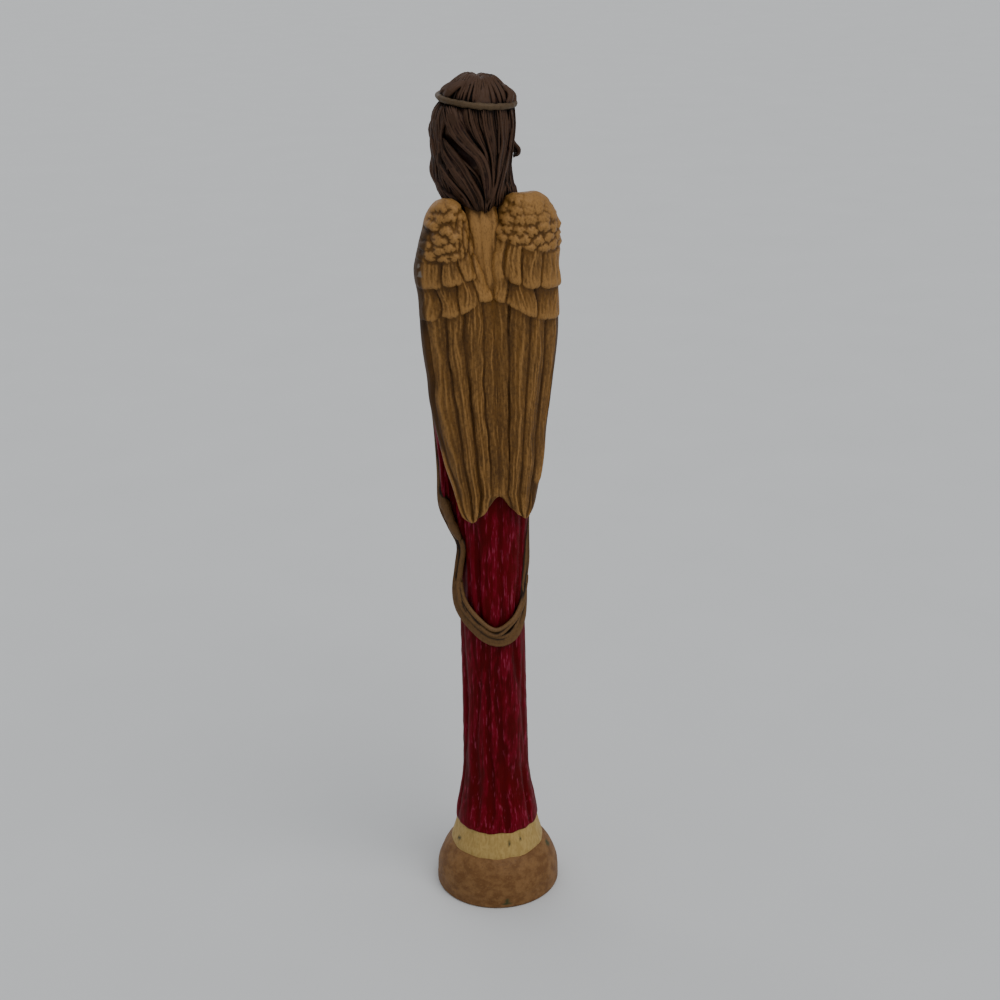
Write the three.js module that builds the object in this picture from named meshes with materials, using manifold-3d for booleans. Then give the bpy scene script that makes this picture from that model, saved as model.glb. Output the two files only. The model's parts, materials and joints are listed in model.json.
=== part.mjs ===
// Slim angel figurine, cast and painted as one solid piece.
// Millimetres, +Z up. The figure faces -Y, its own left is +X, and the origin is the centre of the
// base's underside. It stands on a domed base in a long robe, with folded wings down its back.
import * as THREE from "three";
import Module from "manifold-3d";

const wasm = await Module();
wasm.setup();

// Driving heights
const HEIGHT = 305;
const BASE_TOP = 18.8;
const UNDERSKIRT_HEM = 17.6;
const ROBE_HEM = 27.5;
const SWAG_BOTTOM = 105;
const SLEEVE_BOTTOM = 149.5;
const WING_TIP = 154;
const WING_TOP = 267;
const HAND_TIP = 241;
const CIRCLET_HEIGHT = 296.3;
const HEAD_CENTRE = new THREE.Vector3(3.3, -4.5, 281);

// Driving radii and widths
const BASE_RADIUS = 23.4;
const SKIRT_RADIUS = 11.8;
const WING_HALF_WIDTH = 24.3;
const CIRCLET_RADIUS = 12.5;
const HEAD_TILT = THREE.MathUtils.degToRad(6);
const UPPER_LEAN = 0.5;
const SPINE_SHIFT = 2.2;
const CLOSER_ARM = 1;

// Carving. Each fold, feather and lock has a valley and two ridge points.
const POINTS_EACH = 3;
const ROBE_FOLDS = 9;
const FEATHERS_ACROSS = 4;
const TUFT_ROWS = 3;
const HAIR_LOCKS = 11;

// How far the figure leans to its left at height z.
const lean = (z) => UPPER_LEAN * smoothstep(150, 240, z);

// Smooth, never overshooting, value of each column of a table at t. The first column is the place.
function along(table, t) {
  const last = table.length - 1;
  if (t <= table[0][0]) return table[0].slice(1);
  if (t >= table[last][0]) return table[last].slice(1);
  let i = 0;
  while (table[i + 1][0] < t) i += 1;
  const span = table[i + 1][0] - table[i][0];
  const s = (t - table[i][0]) / span;
  const secant = (k, c) =>
    (table[k + 1][c] - table[k][c]) / (table[k + 1][0] - table[k][0]);
  const slope = (k, c) => {
    if (k === 0) return secant(0, c);
    if (k === last) return secant(last - 1, c);
    const before = secant(k - 1, c);
    const after = secant(k, c);
    return before * after <= 0 ? 0 : (2 * before * after) / (before + after);
  };
  return table[i].slice(1).map((value, n) => {
    const c = n + 1;
    const h00 = (1 + 2 * s) * (1 - s) ** 2;
    const h10 = s * (1 - s) ** 2;
    const h01 = s * s * (3 - 2 * s);
    const h11 = s * s * (s - 1);
    return (
      h00 * value +
      h10 * span * slope(i, c) +
      h01 * table[i + 1][c] +
      h11 * span * slope(i + 1, c)
    );
  });
}

function smoothstep(low, high, t) {
  const s = THREE.MathUtils.clamp((t - low) / (high - low), 0, 1);
  return s * s * (3 - 2 * s);
}

// Heights from low to high, evenly spaced and no further apart than step.
function levels(low, high, step) {
  const count = Math.ceil((high - low) / step);
  return Array.from({ length: count + 1 }, (_, i) => low + ((high - low) * i) / count);
}

// Closed solid through rings of points, all with the same count, closed by a fan at each end.
function ringSolid(rings) {
  const around = rings[0].length;
  const points = rings.flat();
  const faces = [];
  for (let i = 0; i + 1 < rings.length; i += 1) {
    for (let j = 0; j < around; j += 1) {
      const a = i * around + j;
      const b = i * around + ((j + 1) % around);
      faces.push(a, b, b + around, a, b + around, a + around);
    }
  }
  for (const [ring, start, flip] of [
    [rings[0], 0, true],
    [rings.at(-1), (rings.length - 1) * around, false],
  ]) {
    const middle = ring.reduce((sum, p) => sum.add(p), new THREE.Vector3());
    points.push(middle.divideScalar(around));
    for (let j = 0; j < around; j += 1) {
      const a = start + j;
      const b = start + ((j + 1) % around);
      faces.push(points.length - 1, flip ? b : a, flip ? a : b);
    }
  }
  return solidOf(points, faces);
}

// Solid from points and faces, turned the right way out.
function solidOf(points, faces) {
  const vertProperties = new Float32Array(points.flatMap((p) => p.toArray()));
  const make = (triVerts) =>
    new wasm.Manifold(new wasm.Mesh({ numProp: 3, vertProperties, triVerts }));
  const solid = make(new Uint32Array(faces));
  if (solid.volume() > 0) return solid;
  const turned = faces.map((_, i) => faces[i - (i % 3) + [0, 2, 1][i % 3]]);
  return make(new Uint32Array(turned));
}

// A solid with each of its points moved.
function moved(solid, move) {
  const { vertProperties, triVerts } = solid.getMesh();
  const points = [];
  for (let i = 0; i < vertProperties.length; i += 3) {
    points.push(move(new THREE.Vector3().fromArray(vertProperties, i)));
  }
  return solidOf(points, [...triVerts]);
}

// Solid from a three.js geometry.
function geometrySolid(geometry) {
  const source = geometry.index ? geometry.toNonIndexed() : geometry;
  const position = source.getAttribute("position");
  const numbers = new Map();
  const points = [];
  const faces = [];
  for (let i = 0; i < position.count; i += 1) {
    const p = new THREE.Vector3().fromBufferAttribute(position, i);
    const key = p.toArray().map((x) => Math.round(x * 1e4)).join();
    if (!numbers.has(key)) {
      numbers.set(key, points.length);
      points.push(p);
    }
    faces.push(numbers.get(key));
  }
  const whole = [];
  for (let i = 0; i < faces.length; i += 3) {
    const [a, b, c] = faces.slice(i, i + 3);
    if (a !== b && b !== c && c !== a) whole.push(a, b, c);
  }
  return solidOf(points, whole);
}

// Domed base, flat underneath.
function base() {
  const profile = [
    [0, 0],
    [BASE_RADIUS - 0.4, 0],
    [BASE_RADIUS, 0.7],
    [BASE_RADIUS, 2.4],
    [BASE_RADIUS - 0.1, 5],
    [BASE_RADIUS - 0.5, 8],
    [BASE_RADIUS - 1.6, 11.5],
    [BASE_RADIUS - 3.5, 15],
    [BASE_RADIUS - 5.1, 17],
    [BASE_RADIUS - 7, 18.2],
    [BASE_RADIUS - 9.4, BASE_TOP],
    [0, BASE_TOP],
  ];
  const lathe = new THREE.LatheGeometry(
    profile.map(([x, y]) => new THREE.Vector2(x, y)),
    26,
  );
  return geometrySolid(lathe.rotateX(Math.PI / 2));
}

// Body sections: height, half width, half depth, centre x, centre y, depth of the folds.
const BODY = [
  [UNDERSKIRT_HEM - 1.2, 16.8, 16.6, 0, 0, 0],
  [UNDERSKIRT_HEM, 17.4, 17.2, 0, 0, 0.1],
  [20, 17.1, 16.9, 0, 0, 0.1],
  [23, 16.2, 16, 0, 0, 0.2],
  [ROBE_HEM, 14.8, 14.6, 0, 0, 0.3],
  [ROBE_HEM + 0.4, 15.4, 15.1, 0, 0, 0.5],
  [36, 14.1, 13.8, 0, 0, 1],
  [43, 12.8, 12.6, 0, 0, 1],
  [52, SKIRT_RADIUS + 0.2, SKIRT_RADIUS, 0, 0, 0.9],
  [97, SKIRT_RADIUS - 0.2, SKIRT_RADIUS - 0.1, 0.2, 0, 0.8],
  [120, SKIRT_RADIUS - 0.2, SKIRT_RADIUS - 0.1, 0.3, 0, 0.8],
  [140, 12.2, 11.8, 0.1, 0, 0.8],
  [158, 13.4, 12, 0, 0, 0.8],
  [200, 14.4, 11.4, 0.4, 0, 0.7],
  [225, 16, 11.4, 1, -0.4, 0.6],
  [244, 17.4, 10.4, 1.8, -0.8, 0.5],
  [253, 14.5, 8.8, 2.3, -1, 0.3],
  [259, 8.6, 6.8, 2.7, -1.4, 0.1],
  [264, 5.6, 5.6, 3, -2.6, 0],
  [272, 5.2, 5.2, 3.2, -4, 0],
];

function body() {
  const around = ROBE_FOLDS * POINTS_EACH;
  const heights = [
    BODY[0][0],
    ...levels(UNDERSKIRT_HEM, ROBE_HEM, 4),
    ...levels(ROBE_HEM + 0.4, 52, 6.5),
    ...levels(66, 148, 16.5),
    ...levels(168, 228, 20),
    ...levels(237, 261, 8),
    270,
  ];
  const rings = heights.map((z) => {
    const [a, b, cx, cy, depth] = along(BODY, z);
    return Array.from({ length: around }, (_, j) => {
      const straight = (2 * Math.PI * j) / around;
      const angle = straight + 0.1 * Math.sin(z / 17 + 2 * straight) + 0.06 * Math.sin(z / 8 + j);
      const fold = depth * (j % POINTS_EACH === 0 ? -1 : 0.5);
      return new THREE.Vector3(
        cx + (a + fold) * Math.sin(angle),
        cy + (b + fold) * Math.cos(angle),
        z,
      );
    });
  });
  return ringSolid(rings);
}

// Wing sections, given for the left: height, inner and outer x, y at the spine and at the outer
// edge, crown between them, thickness.
const WING = [
  [WING_TIP, 9.2, 10.2, 14, 13.2, 0, 2],
  [WING_TIP + 1.4, 7.4, 11.8, 14.2, 12.6, 0.2, 2.6],
  [WING_TIP + 4, 4.4, 13.4, 14.4, 11.8, 0.5, 3],
  [WING_TIP + 8, 1.4, 14.6, 14.5, 10.8, 0.8, 3.4],
  [WING_TIP + 10.5, -0.5, 15.2, 14.5, 10.4, 1, 3.6],
  [173, -0.5, 17, 14.4, 9.6, 1.3, 3.8],
  [184, -0.5, 18.6, 14.2, 9, 1.6, 4],
  [202, -0.5, 21.5, 13.8, 8.6, 2, 4],
  [221, -0.5, 23.7, 12.8, 8, 2.6, 4.4],
  [233, -0.5, WING_HALF_WIDTH - 0.3, 11.2, 7, 4, 5],
  [241, 0.6, WING_HALF_WIDTH + 0.2, 10, 6, 5, 6],
  [249, 2.2, WING_HALF_WIDTH, 8.4, 5, 5.8, 7],
  [255, 3.4, WING_HALF_WIDTH - 0.9, 7.4, 4.4, 6, 7.4],
  [259.5, 5, WING_HALF_WIDTH - 2.2, 7, 4.2, 5.4, 7.4],
  [263, 6.4, WING_HALF_WIDTH - 4.2, 7, 4.4, 4.4, 7],
  [WING_TOP - 1.4, 8, WING_HALF_WIDTH - 6.4, 7.2, 5, 2.6, 5],
  [WING_TOP, 10, WING_HALF_WIDTH - 8.8, 7.4, 6, 0.6, 2],
];

// How far both wings' outer edges stand to the left at a height.
const EDGE_SHIFT = [
  [WING_TIP, 0],
  [173, -0.6],
  [186, -0.6],
  [204, 0.2],
  [232, 0.1],
  [242, 0.6],
  [250, -0.9],
  [256, -1.6],
  [WING_TOP - 3.5, -0.9],
  [WING_TOP, -0.4],
];

// Lower ends of the layers of feathers at u from the spine to the edge: they rise to the spine.
const LAYER_ENDS = {
  lowerCoverts: (u) => 224.5 + 5.5 * (1 - u) ** 2,
  upperCoverts: (u) => 235 + 5 * (1 - u) ** 2,
  tufts: (u) => 246.6 + 3 * (1 - u) ** 2,
};

// Lines across the wing, from the tip up: each gives its height at u, and how far the carving stands
// out on the ridge and in the valley of a feather.
function wingLines(rowLift) {
  const step = 0.4;
  const valley = -0.6;
  const level = (z, ridge) => ({ height: () => z, ridge: () => ridge, valley });
  // The last line of the layer below, the end of this layer, and its middle.
  const layer = (end, rise) => {
    const height = (u, inValley) => end(u) + rowLift + (inValley ? 1.6 : 0);
    return [
      { height: (u, inValley) => height(u, inValley) - step, ridge: () => 0.3, valley },
      { height, ridge: () => 1.5, valley: 0.5 },
      { height: (u) => end(u) + rowLift + rise, ridge: () => 0.8, valley: -0.2 },
    ];
  };
  const tuftLines = levels(249.5, WING_TOP - 3, (WING_TOP - 252.5) / (2 * TUFT_ROWS));
  return [
    ...levels(WING_TIP, WING_TIP + 1.4, 1.4).map((z) => level(z, 0)),
    ...levels(WING_TIP + 4, WING_TIP + 10.5, 3.3).map((z) => level(z, 0.5)),
    ...levels(174, 213, 13).map((z) => level(z, 0.5)),
    ...layer(LAYER_ENDS.lowerCoverts, 6),
    ...layer(LAYER_ENDS.upperCoverts, 6),
    ...layer(LAYER_ENDS.tufts, 1.8).slice(0, 2),
    ...tuftLines.slice(1).map((z, row) => {
      if (row % 2 === 1) return { height: () => z, ridge: () => -0.1, valley: -0.1 };
      const turn = (row / 2) % POINTS_EACH;
      return {
        height: (u) => z + 2 * (1 - u),
        ridge: (point) => (point % POINTS_EACH === turn ? 1.9 : 0.5),
        valley: turn === 0 ? 1.9 : 0.5,
      };
    }),
    level(WING_TOP - 1.4, 0),
    level(WING_TOP, 0),
  ];
}

function wing({ side, rowLift, topDrop }) {
  const across = FEATHERS_ACROSS * POINTS_EACH;
  const rings = wingLines(rowLift).map(({ height, ridge, valley }) => {
    const place = (u, carve, inValley, deep) => {
      const z = height(u, inValley);
      const [near, far, spine, edge, crown, thick] = along(WING, z);
      const inner = near + side * SPINE_SHIFT * smoothstep(233, 247, z);
      const outer = far + side * along(EDGE_SHIFT, z)[0];
      const merging = smoothstep(1.5, -0.5, inner) * (u < 0.5 ? 1 : 0);
      const rounding = Math.sqrt(Math.max(0, 1 - (2 * u - 1) ** 6));
      const full = Math.max(rounding, merging);
      const fade = THREE.MathUtils.clamp((outer - inner) / 6, 0, 1);
      const x = inner + (outer - inner) * u;
      const bare = edge + (spine - edge) * (1 - u * u) + crown * 4 * u * (1 - u);
      const back = bare - 0.5 * thick * (1 - full);
      const y = back + carve * fade * Math.max(rounding, 0.4) - deep * thick * full;
      const dropped = z - topDrop * smoothstep(240, WING_TOP, z);
      return new THREE.Vector3(side * (x + 0.25 * u * carve), y, dropped);
    };
    const back = Array.from({ length: across + 1 }, (_, i) => {
      const inValley = i % POINTS_EACH === 0;
      return place(i / across, inValley ? valley : ridge(i), inValley, 0);
    });
    const front = [0.7, 0.3].map((u) => place(u, 0, false, 1));
    return [...back, ...front];
  });
  return ringSolid(rings);
}

const WINGS = [
  { side: 1, rowLift: 1.2, topDrop: 0.8 },
  { side: -1, rowLift: -1.2, topDrop: 0 },
];

// Smooth strip down the spine between the wings' shoulders.
function spineStrip() {
  const line = [
    [3.1, 4.4, 265],
    [2.8, 6.8, 258],
    [2.8, 9.8, 249],
    [2.2, 12.6, 240],
    [1.4, 13.2, 232],
    [1, 12.2, 226],
  ].map(vector);
  const sizes = [
    [0, 6],
    [0.2, 5],
    [0.45, 3.4],
    [0.75, 3.8],
    [1, 4.4],
  ];
  return sweep(line, {
    steps: 5,
    shape: round(6),
    section: (t) => [along(sizes, t)[0], 1.4],
    outward: () => new THREE.Vector3(0, 1, 0.2),
  });
}

// A solid made for the figure's left, put on the side given and leaning with the figure. The right
// one hangs closer to the body.
function placed(solid, side) {
  return moved(solid, (p) => {
    const closer = side < 0 ? CLOSER_ARM * smoothstep(196, 170, p.z) : 0;
    return p.set(side * (p.x - closer) + lean(p.z), p.y, p.z);
  });
}

// Upper arm and hanging sleeve, given for the left: height, x and y of the back and of the front of
// the section, half width.
const SLEEVE = [
  [SLEEVE_BOTTOM, 14.8, -2.6, 14.2, -4.8, 1.4],
  [153, 15.2, -1.8, 14, -6, 2.2],
  [160, 15.8, -1.2, 13.8, -7.8, 2.6],
  [172, 16.4, 0, 13.2, -10.4, 2.8],
  [185, 17.2, 0.8, 12, -13, 3.1],
  [196, 17.6, 1.4, 10.4, -15, 3.9],
  [205, 17.8, 1.8, 8.8, -16.4, 4.3],
  [210, 18, 2, 9.4, -15.2, 4.3],
  [216, 18.2, 1.6, 14, -8, 4.6],
  [225, 18.4, 1, 15.8, -5, 4.8],
  [240, 18, 0.8, 15.8, -4, 5],
  [249, 16.6, 0.4, 15, -3.4, 4.8],
  [254, 14.8, 0, 13.8, -2.6, 3.6],
  [256, 13.6, -0.4, 13, -1.8, 1.6],
];

function sleeve() {
  const around = 10;
  const heights = [...levels(SLEEVE_BOTTOM, 160, 5), ...levels(172, 240, 8.6), 248, 252.5, 256];
  const rings = heights.map((z) => {
    const [backX, backY, frontX, frontY, wide] = along(SLEEVE, z);
    const middle = new THREE.Vector2(backX + frontX, backY + frontY).multiplyScalar(0.5);
    const ahead = new THREE.Vector2(frontX - backX, frontY - backY).multiplyScalar(0.5);
    const long = ahead.length() + wide;
    ahead.normalize();
    const carved = 0.6 * smoothstep(250, 225, z) * smoothstep(SLEEVE_BOTTOM, 160, z);
    return round(around).map(([cos, sin], i) => {
      const fold = carved * Math.cos(Math.PI * i + z / 17);
      const u = (long + fold) * cos;
      const v = (wide + fold) * sin;
      return new THREE.Vector3(
        middle.x + u * ahead.x - v * ahead.y,
        middle.y + u * ahead.y + v * ahead.x,
        z,
      );
    });
  });
  return ringSolid(rings);
}

// Points of a round cross-section.
function round(sides) {
  return levels(0, 2 * Math.PI, (2 * Math.PI) / sides)
    .slice(0, -1)
    .map((angle) => [Math.cos(angle), Math.sin(angle)]);
}

// Solid swept along a smooth line. The shape is the cross-section's points, the section function
// gives half width and half thickness at t, and outward gives the direction of the thickness.
function sweep(points, { steps, shape, section, outward }) {
  const line = new THREE.CatmullRomCurve3(points, false, "centripetal");
  const rings = levels(0, 1, 1 / steps).map((t) => {
    const centre = line.getPointAt(t);
    const tangent = line.getTangentAt(t);
    const normal = outward(centre);
    normal.addScaledVector(tangent, -normal.dot(tangent)).normalize();
    const across = new THREE.Vector3().crossVectors(tangent, normal);
    const [wide, thick] = section(t);
    return shape.map(([a, b]) =>
      centre
        .clone()
        .addScaledVector(across, wide * a)
        .addScaledVector(normal, thick * b),
    );
  });
  return ringSolid(rings);
}

const vector = ([x, y, z]) => new THREE.Vector3(x, y, z);
const awayFromAxis = (p) => new THREE.Vector3(p.x, p.y, 0).normalize();

// Forearm inside its sleeve, with the sleeve's cuff at the wrist.
function forearm() {
  const line = [
    [14.4, -5.8, 205],
    [12, -11.4, 206],
    [8.6, -16, 210],
    [4.8, -18.6, 216],
  ].map(vector);
  return sweep(line, {
    steps: 5,
    shape: round(8),
    section: (t) => (t > 0.9 ? [4.3, 4.1] : [3 + t, 3 + 0.6 * t]),
    outward: () => new THREE.Vector3(0, 0, 1),
  });
}

// Palm and fingers, pressed against the other hand and pointing up.
function hand() {
  const line = [
    [4.8, -18.6, 214],
    [3, -19.4, 220],
    [1.9, -20, 227],
    [1.5, -20, 234],
    [1, -19.4, HAND_TIP],
  ].map(vector);
  const sizes = [
    [0, 2.2, 2],
    [0.35, 3.2, 1.8],
    [0.7, 2.7, 1.5],
    [1, 1.3, 0.8],
  ];
  return sweep(line, {
    steps: 6,
    shape: round(8),
    section: (t) => along(sizes, t),
    outward: () => new THREE.Vector3(1, 0, 0),
  });
}

function thumb() {
  const line = [
    [2.8, -17.8, 219],
    [2.2, -16, 224],
    [1.3, -15.6, 228.5],
  ].map(vector);
  return sweep(line, {
    steps: 3,
    shape: round(6),
    section: (t) => [1.3 - 0.5 * t * t, 1.2 - 0.4 * t * t],
    outward: () => new THREE.Vector3(1, 0, 0),
  });
}

// Points of the stole from the middle of the swag behind, round the outside of the sleeve and over
// the forearm to its free end in front: x on the left side and on the right, y, height.
const STOLE = [
  [0, 0, 12.6, SWAG_BOTTOM + 2],
  [4.6, 4.4, 11.9, SWAG_BOTTOM + 3.4],
  [9.8, 7.8, 9.4, SWAG_BOTTOM + 8.5],
  [13.2, 9.2, 6.8, SWAG_BOTTOM + 14],
  [14.1, 9.6, 5.6, SWAG_BOTTOM + 21],
  [13, 10.8, 4.8, SWAG_BOTTOM + 29],
  [11.9, 11.2, 3.8, SWAG_BOTTOM + 37],
  [15, 11.8, 2, 149],
  [17.6, 13, -0.8, 156],
  [17.2, 16, -4.6, 167],
  [16.8, 16.8, -9, 184],
  [16.8, 17, -13, 197],
  [14.8, 14.8, -15.4, 207.5],
  [11.4, 11.4, -13.6, 212],
  [8.8, 8.8, -12.4, 207],
  [8, 8, -13, 196],
  [7.8, 7.8, -13.4, 176],
  [7.8, 7.8, -13.2, 150],
  [7.6, 7.6, -12.8, 125],
  [7.4, 7.4, -12.4, 112],
];

// Direction away from the body, or from the forearm where the stole lies over it.
function stoleFacing(p) {
  const over = smoothstep(196, 206, p.z);
  const arm = new THREE.Vector3(12.5 * Math.sign(p.x), -13, 203);
  return awayFromAxis(p)
    .multiplyScalar(1 - over)
    .addScaledVector(p.clone().sub(arm).normalize(), over);
}

function stole() {
  const leftHalf = STOLE.map(([x, , y, z]) => vector([x, y, z]));
  const rightHalf = STOLE.slice(1)
    .reverse()
    .map(([, x, y, z]) => vector([-x, y, z]));
  const shape = [
    [1, 0],
    [0.5, 1],
    [-0.5, 1],
    [-1, 0],
    [-0.5, -1],
    [0.5, -1],
  ];
  return sweep([...rightHalf, ...leftHalf], {
    steps: 54,
    shape,
    section: (t) => {
      const fromEnd = Math.min(t, 1 - t);
      const flare = 1.4 * smoothstep(0.16, 0, fromEnd);
      return [2.4 + flare, 1.3];
    },
    outward: stoleFacing,
  });
}

// Upper fold of the stole's swag, which parts from the lower one at the right.
function swagFold() {
  const line = [
    [-11.2, 2, SWAG_BOTTOM + 24],
    [-10.2, 5.6, SWAG_BOTTOM + 17],
    [-7.6, 10.2, SWAG_BOTTOM + 12],
    [-4, 12.6, SWAG_BOTTOM + 8.2],
    [2, 13.4, SWAG_BOTTOM + 6.4],
    [7.6, 11.2, SWAG_BOTTOM + 10.6],
    [11.8, 7.6, SWAG_BOTTOM + 17],
    [13, 3.4, SWAG_BOTTOM + 25],
  ].map(vector);
  return sweep(line, {
    steps: 14,
    shape: round(6),
    section: () => [1.5, 1.3],
    outward: awayFromAxis,
  });
}

// Moves a solid made about the head's centre to its place on the neck, tilted to the right.
function onHead(solid) {
  const place = new THREE.Matrix4().makeRotationY(-HEAD_TILT).setPosition(HEAD_CENTRE);
  return moved(solid, (p) => p.applyMatrix4(place));
}

// Hair sections about the head's centre: height, half width, reach back, reach forward, centre x.
const HAIR_TOP = HEIGHT - HEAD_CENTRE.z;
const HAIR = [
  [-21.5, 4.4, 11.6, 1, -1],
  [-18.5, 9.8, 12.2, 3, -1.6],
  [-15, 13, 12.6, 6.6, -2.4],
  [-10, 12.5, 12.8, 9.2, -0.7],
  [-4, 12.6, 13.1, 11.4, 0.2],
  [3, 13.3, 13.2, 12.4, 0.7],
  [10, 13.1, 13.2, 12.6, 0.6],
  [14, 11.9, 12.6, 12.2, 0],
  [18, 10, 10.8, 10.4, 0],
  [HAIR_TOP - 3, 7.5, 8.2, 7.6, 0],
  [HAIR_TOP - 0.8, 4.2, 4.4, 4, 0],
  [HAIR_TOP, 1.6, 1.8, 1.4, 0],
];

// Surface of the hair's mass at an angle from the back and height h, plus a height above it.
function onHair(angle, h, above) {
  const [wide, back, front, centre] = along(HAIR, h);
  const facing = Math.cos(angle);
  const deep = facing > 0 ? back : front;
  const x = centre + (wide + above) * Math.sin(angle);
  return new THREE.Vector3(x, (deep + above) * facing, h);
}

// The hair in locks: they wave down from the crown and meet in a point at the nape.
function hair() {
  const around = HAIR_LOCKS * POINTS_EACH;
  const heights = [...levels(-21.5, 12, 4.2), ...levels(14.5, HAIR_TOP - 0.8, 3), HAIR_TOP];
  const rings = heights.map((h) => {
    const below = smoothstep(13, 5, h);
    const crown = smoothstep(HAIR_TOP, HAIR_TOP - 6, h);
    return Array.from({ length: around }, (_, j) => {
      const straight = (2 * Math.PI * j) / around;
      const angle = straight + 0.26 * below * Math.sin((h - 4) / 6.5 + Math.sin(straight + 0.6));
      const fromFront = Math.abs(straight - Math.PI);
      const arch = 0.95 * Math.sqrt(THREE.MathUtils.clamp((12 - h) / 12, 0, 1));
      const open = 1 - smoothstep(arch - 0.05, arch + 0.2, fromFront);
      const ridge = 0.6 + 0.3 * Math.sin(h / 4 + 2 * Math.floor(j / POINTS_EACH));
      const lock = j % POINTS_EACH === 0 ? -1 : ridge;
      const point = onHair(angle, h, lock * crown * (0.5 + 0.5 * below) * (1 - open));
      return point.multiply(new THREE.Vector3(1 - 0.5 * open, 1 - 0.5 * open, 1));
    });
  });
  return ringSolid(rings);
}

// Loose ends that curl outwards: points of angle from the back, in degrees and growing to the left,
// with height about the head's centre and height above the hair.
const CURLS = [
  [[100, 3, -0.8], [97, -4, -0.2], [93, -9, 0.8], [80, -13, 0], [62, -17, -0.8]],
  [[-95, 5, -0.6], [-97, 1.8, 1.2], [-98, -0.4, 2.8], [-99, -2.6, 2.3]],
];

function curl(line) {
  const points = line.map(([degrees, h, above]) =>
    onHair(THREE.MathUtils.degToRad(degrees), h, above),
  );
  return sweep(points, {
    steps: 5,
    shape: round(5),
    section: (t) => [2.2 - 0.8 * t * t, 2 - 0.8 * t * t],
    outward: awayFromAxis,
  });
}

// Half width of the face, and reach forward, at h up from its middle.
const FACE = [
  [-15.4, 1.6, 5],
  [-14.6, 4.6, 8.2],
  [-12, 7, 9.8],
  [-8, 8.8, 10.4],
  [-2, 10, 11],
  [4, 10.4, 11.6],
  [9, 9.8, 11.4],
  [13, 8, 9.6],
  [15.4, 4, 5],
];

// How far the features stand out towards the front at x across and h up.
function faceRelief(x, h) {
  const bump = (cx, ch, wx, wh) =>
    Math.exp(-(((x - cx) / wx) ** 2) - ((h - ch) / wh) ** 2);
  const nose = 1.9 * bump(0, -4, 1.6, 1.4) + 1.6 * bump(0, -0.6, 1.2, 3.4);
  const sockets = bump(4, 1.6, 2.4, 1.8) + bump(-4, 1.6, 2.4, 1.8);
  const lids = bump(4, 1.2, 1.6, 0.9) + bump(-4, 1.2, 1.6, 0.9);
  const brows = bump(4, 4.6, 3.2, 1.2) + bump(-4, 4.6, 3.2, 1.2);
  const lips = bump(0, -7.6, 2.6, 0.8) + bump(0, -9.4, 2, 0.8);
  const chin = bump(0, -13, 2.8, 1.8);
  return nose - 1.8 * sockets + 0.9 * lids + 0.4 * brows + 0.9 * lips + 0.9 * chin;
}

function face() {
  const heights = [-15.4, -14.6, -13, -11, -9.4, -8.4, -7.4, -6, -4.2, -2.4, 0, 1.6, 3.4, 5, 8, 12, 15.4];
  const across = [0, 0.08, 0.2, 0.32, 0.44, 0.58, 0.76, 1];
  const rings = heights.map((h) => {
    const [wide, deep] = along(FACE, h);
    const half = across.map((share) => {
      const angle = (share * Math.PI) / 2;
      const x = wide * Math.sin(angle);
      return [x, -1.2 - deep * Math.cos(angle) - (1 - share) * faceRelief(x, h)];
    });
    const left = half.map(([x, y]) => new THREE.Vector3(x, y, h));
    const right = half.slice(1).reverse().map(([x, y]) => new THREE.Vector3(-x, y, h));
    return [...left, new THREE.Vector3(0, 4, h), ...right];
  });
  return ringSolid(rings);
}

function circlet() {
  const ring = new THREE.TorusGeometry(CIRCLET_RADIUS, 1.05, 5, 18);
  ring.rotateX(-0.05).rotateY(-HEAD_TILT);
  return geometrySolid(ring.translate(1.9, HEAD_CENTRE.y + 0.3, CIRCLET_HEIGHT));
}

// The solid inside the outer skin, with the specks of air between its joined pieces filled.
function outerSkin(solid) {
  return solid.decompose().reduce((best, part) => (part.volume() > best.volume() ? part : best));
}

function figurine() {
  const arms = [1, -1].flatMap((side) =>
    [sleeve(), forearm(), hand(), thumb()].map((piece) => placed(piece, side)),
  );
  const pieces = [
    base(),
    body(),
    ...WINGS.map((kind) => placed(wing(kind), 1)),
    spineStrip(),
    ...arms,
    placed(stole(), 1),
    swagFold(),
    onHead(hair()),
    ...CURLS.map(curl).map(onHead),
    onHead(face()),
    circlet(),
  ];
  return outerSkin(pieces.reduce((whole, piece) => whole.add(piece)));
}

function bufferGeometry(solid) {
  const { vertProperties, triVerts, numProp } = solid.getMesh();
  const position = new Float32Array((vertProperties.length / numProp) * 3);
  for (let i = 0; i < position.length / 3; i += 1) {
    position.set(vertProperties.subarray(i * numProp, i * numProp + 3), i * 3);
  }
  const geometry = new THREE.BufferGeometry();
  geometry.setAttribute("position", new THREE.BufferAttribute(position, 3));
  geometry.setIndex(new THREE.BufferAttribute(triVerts, 1));
  geometry.computeVertexNormals();
  return geometry;
}

const paintedResin = new THREE.MeshStandardMaterial({
  color: 0x6e1423,
  roughness: 0.5,
  metalness: 0.1,
});

const angel = new THREE.Group();
const casting = new THREE.Mesh(bufferGeometry(figurine()), paintedResin);
casting.name = "angel_figurine";
angel.add(casting);

export default angel;
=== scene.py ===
"""Looks of a slim angel figurine, cast and painted as one solid piece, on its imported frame.

The shapes are worked out in millimetres in the frame's axes, +Z up. The figure faces -Y and its own
left is +X.
"""

import json
import math

import bmesh
import bpy
import numpy as np
from mathutils import Matrix, Vector
from mathutils.bvhtree import BVHTree
from mathutils.kdtree import KDTree

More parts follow.
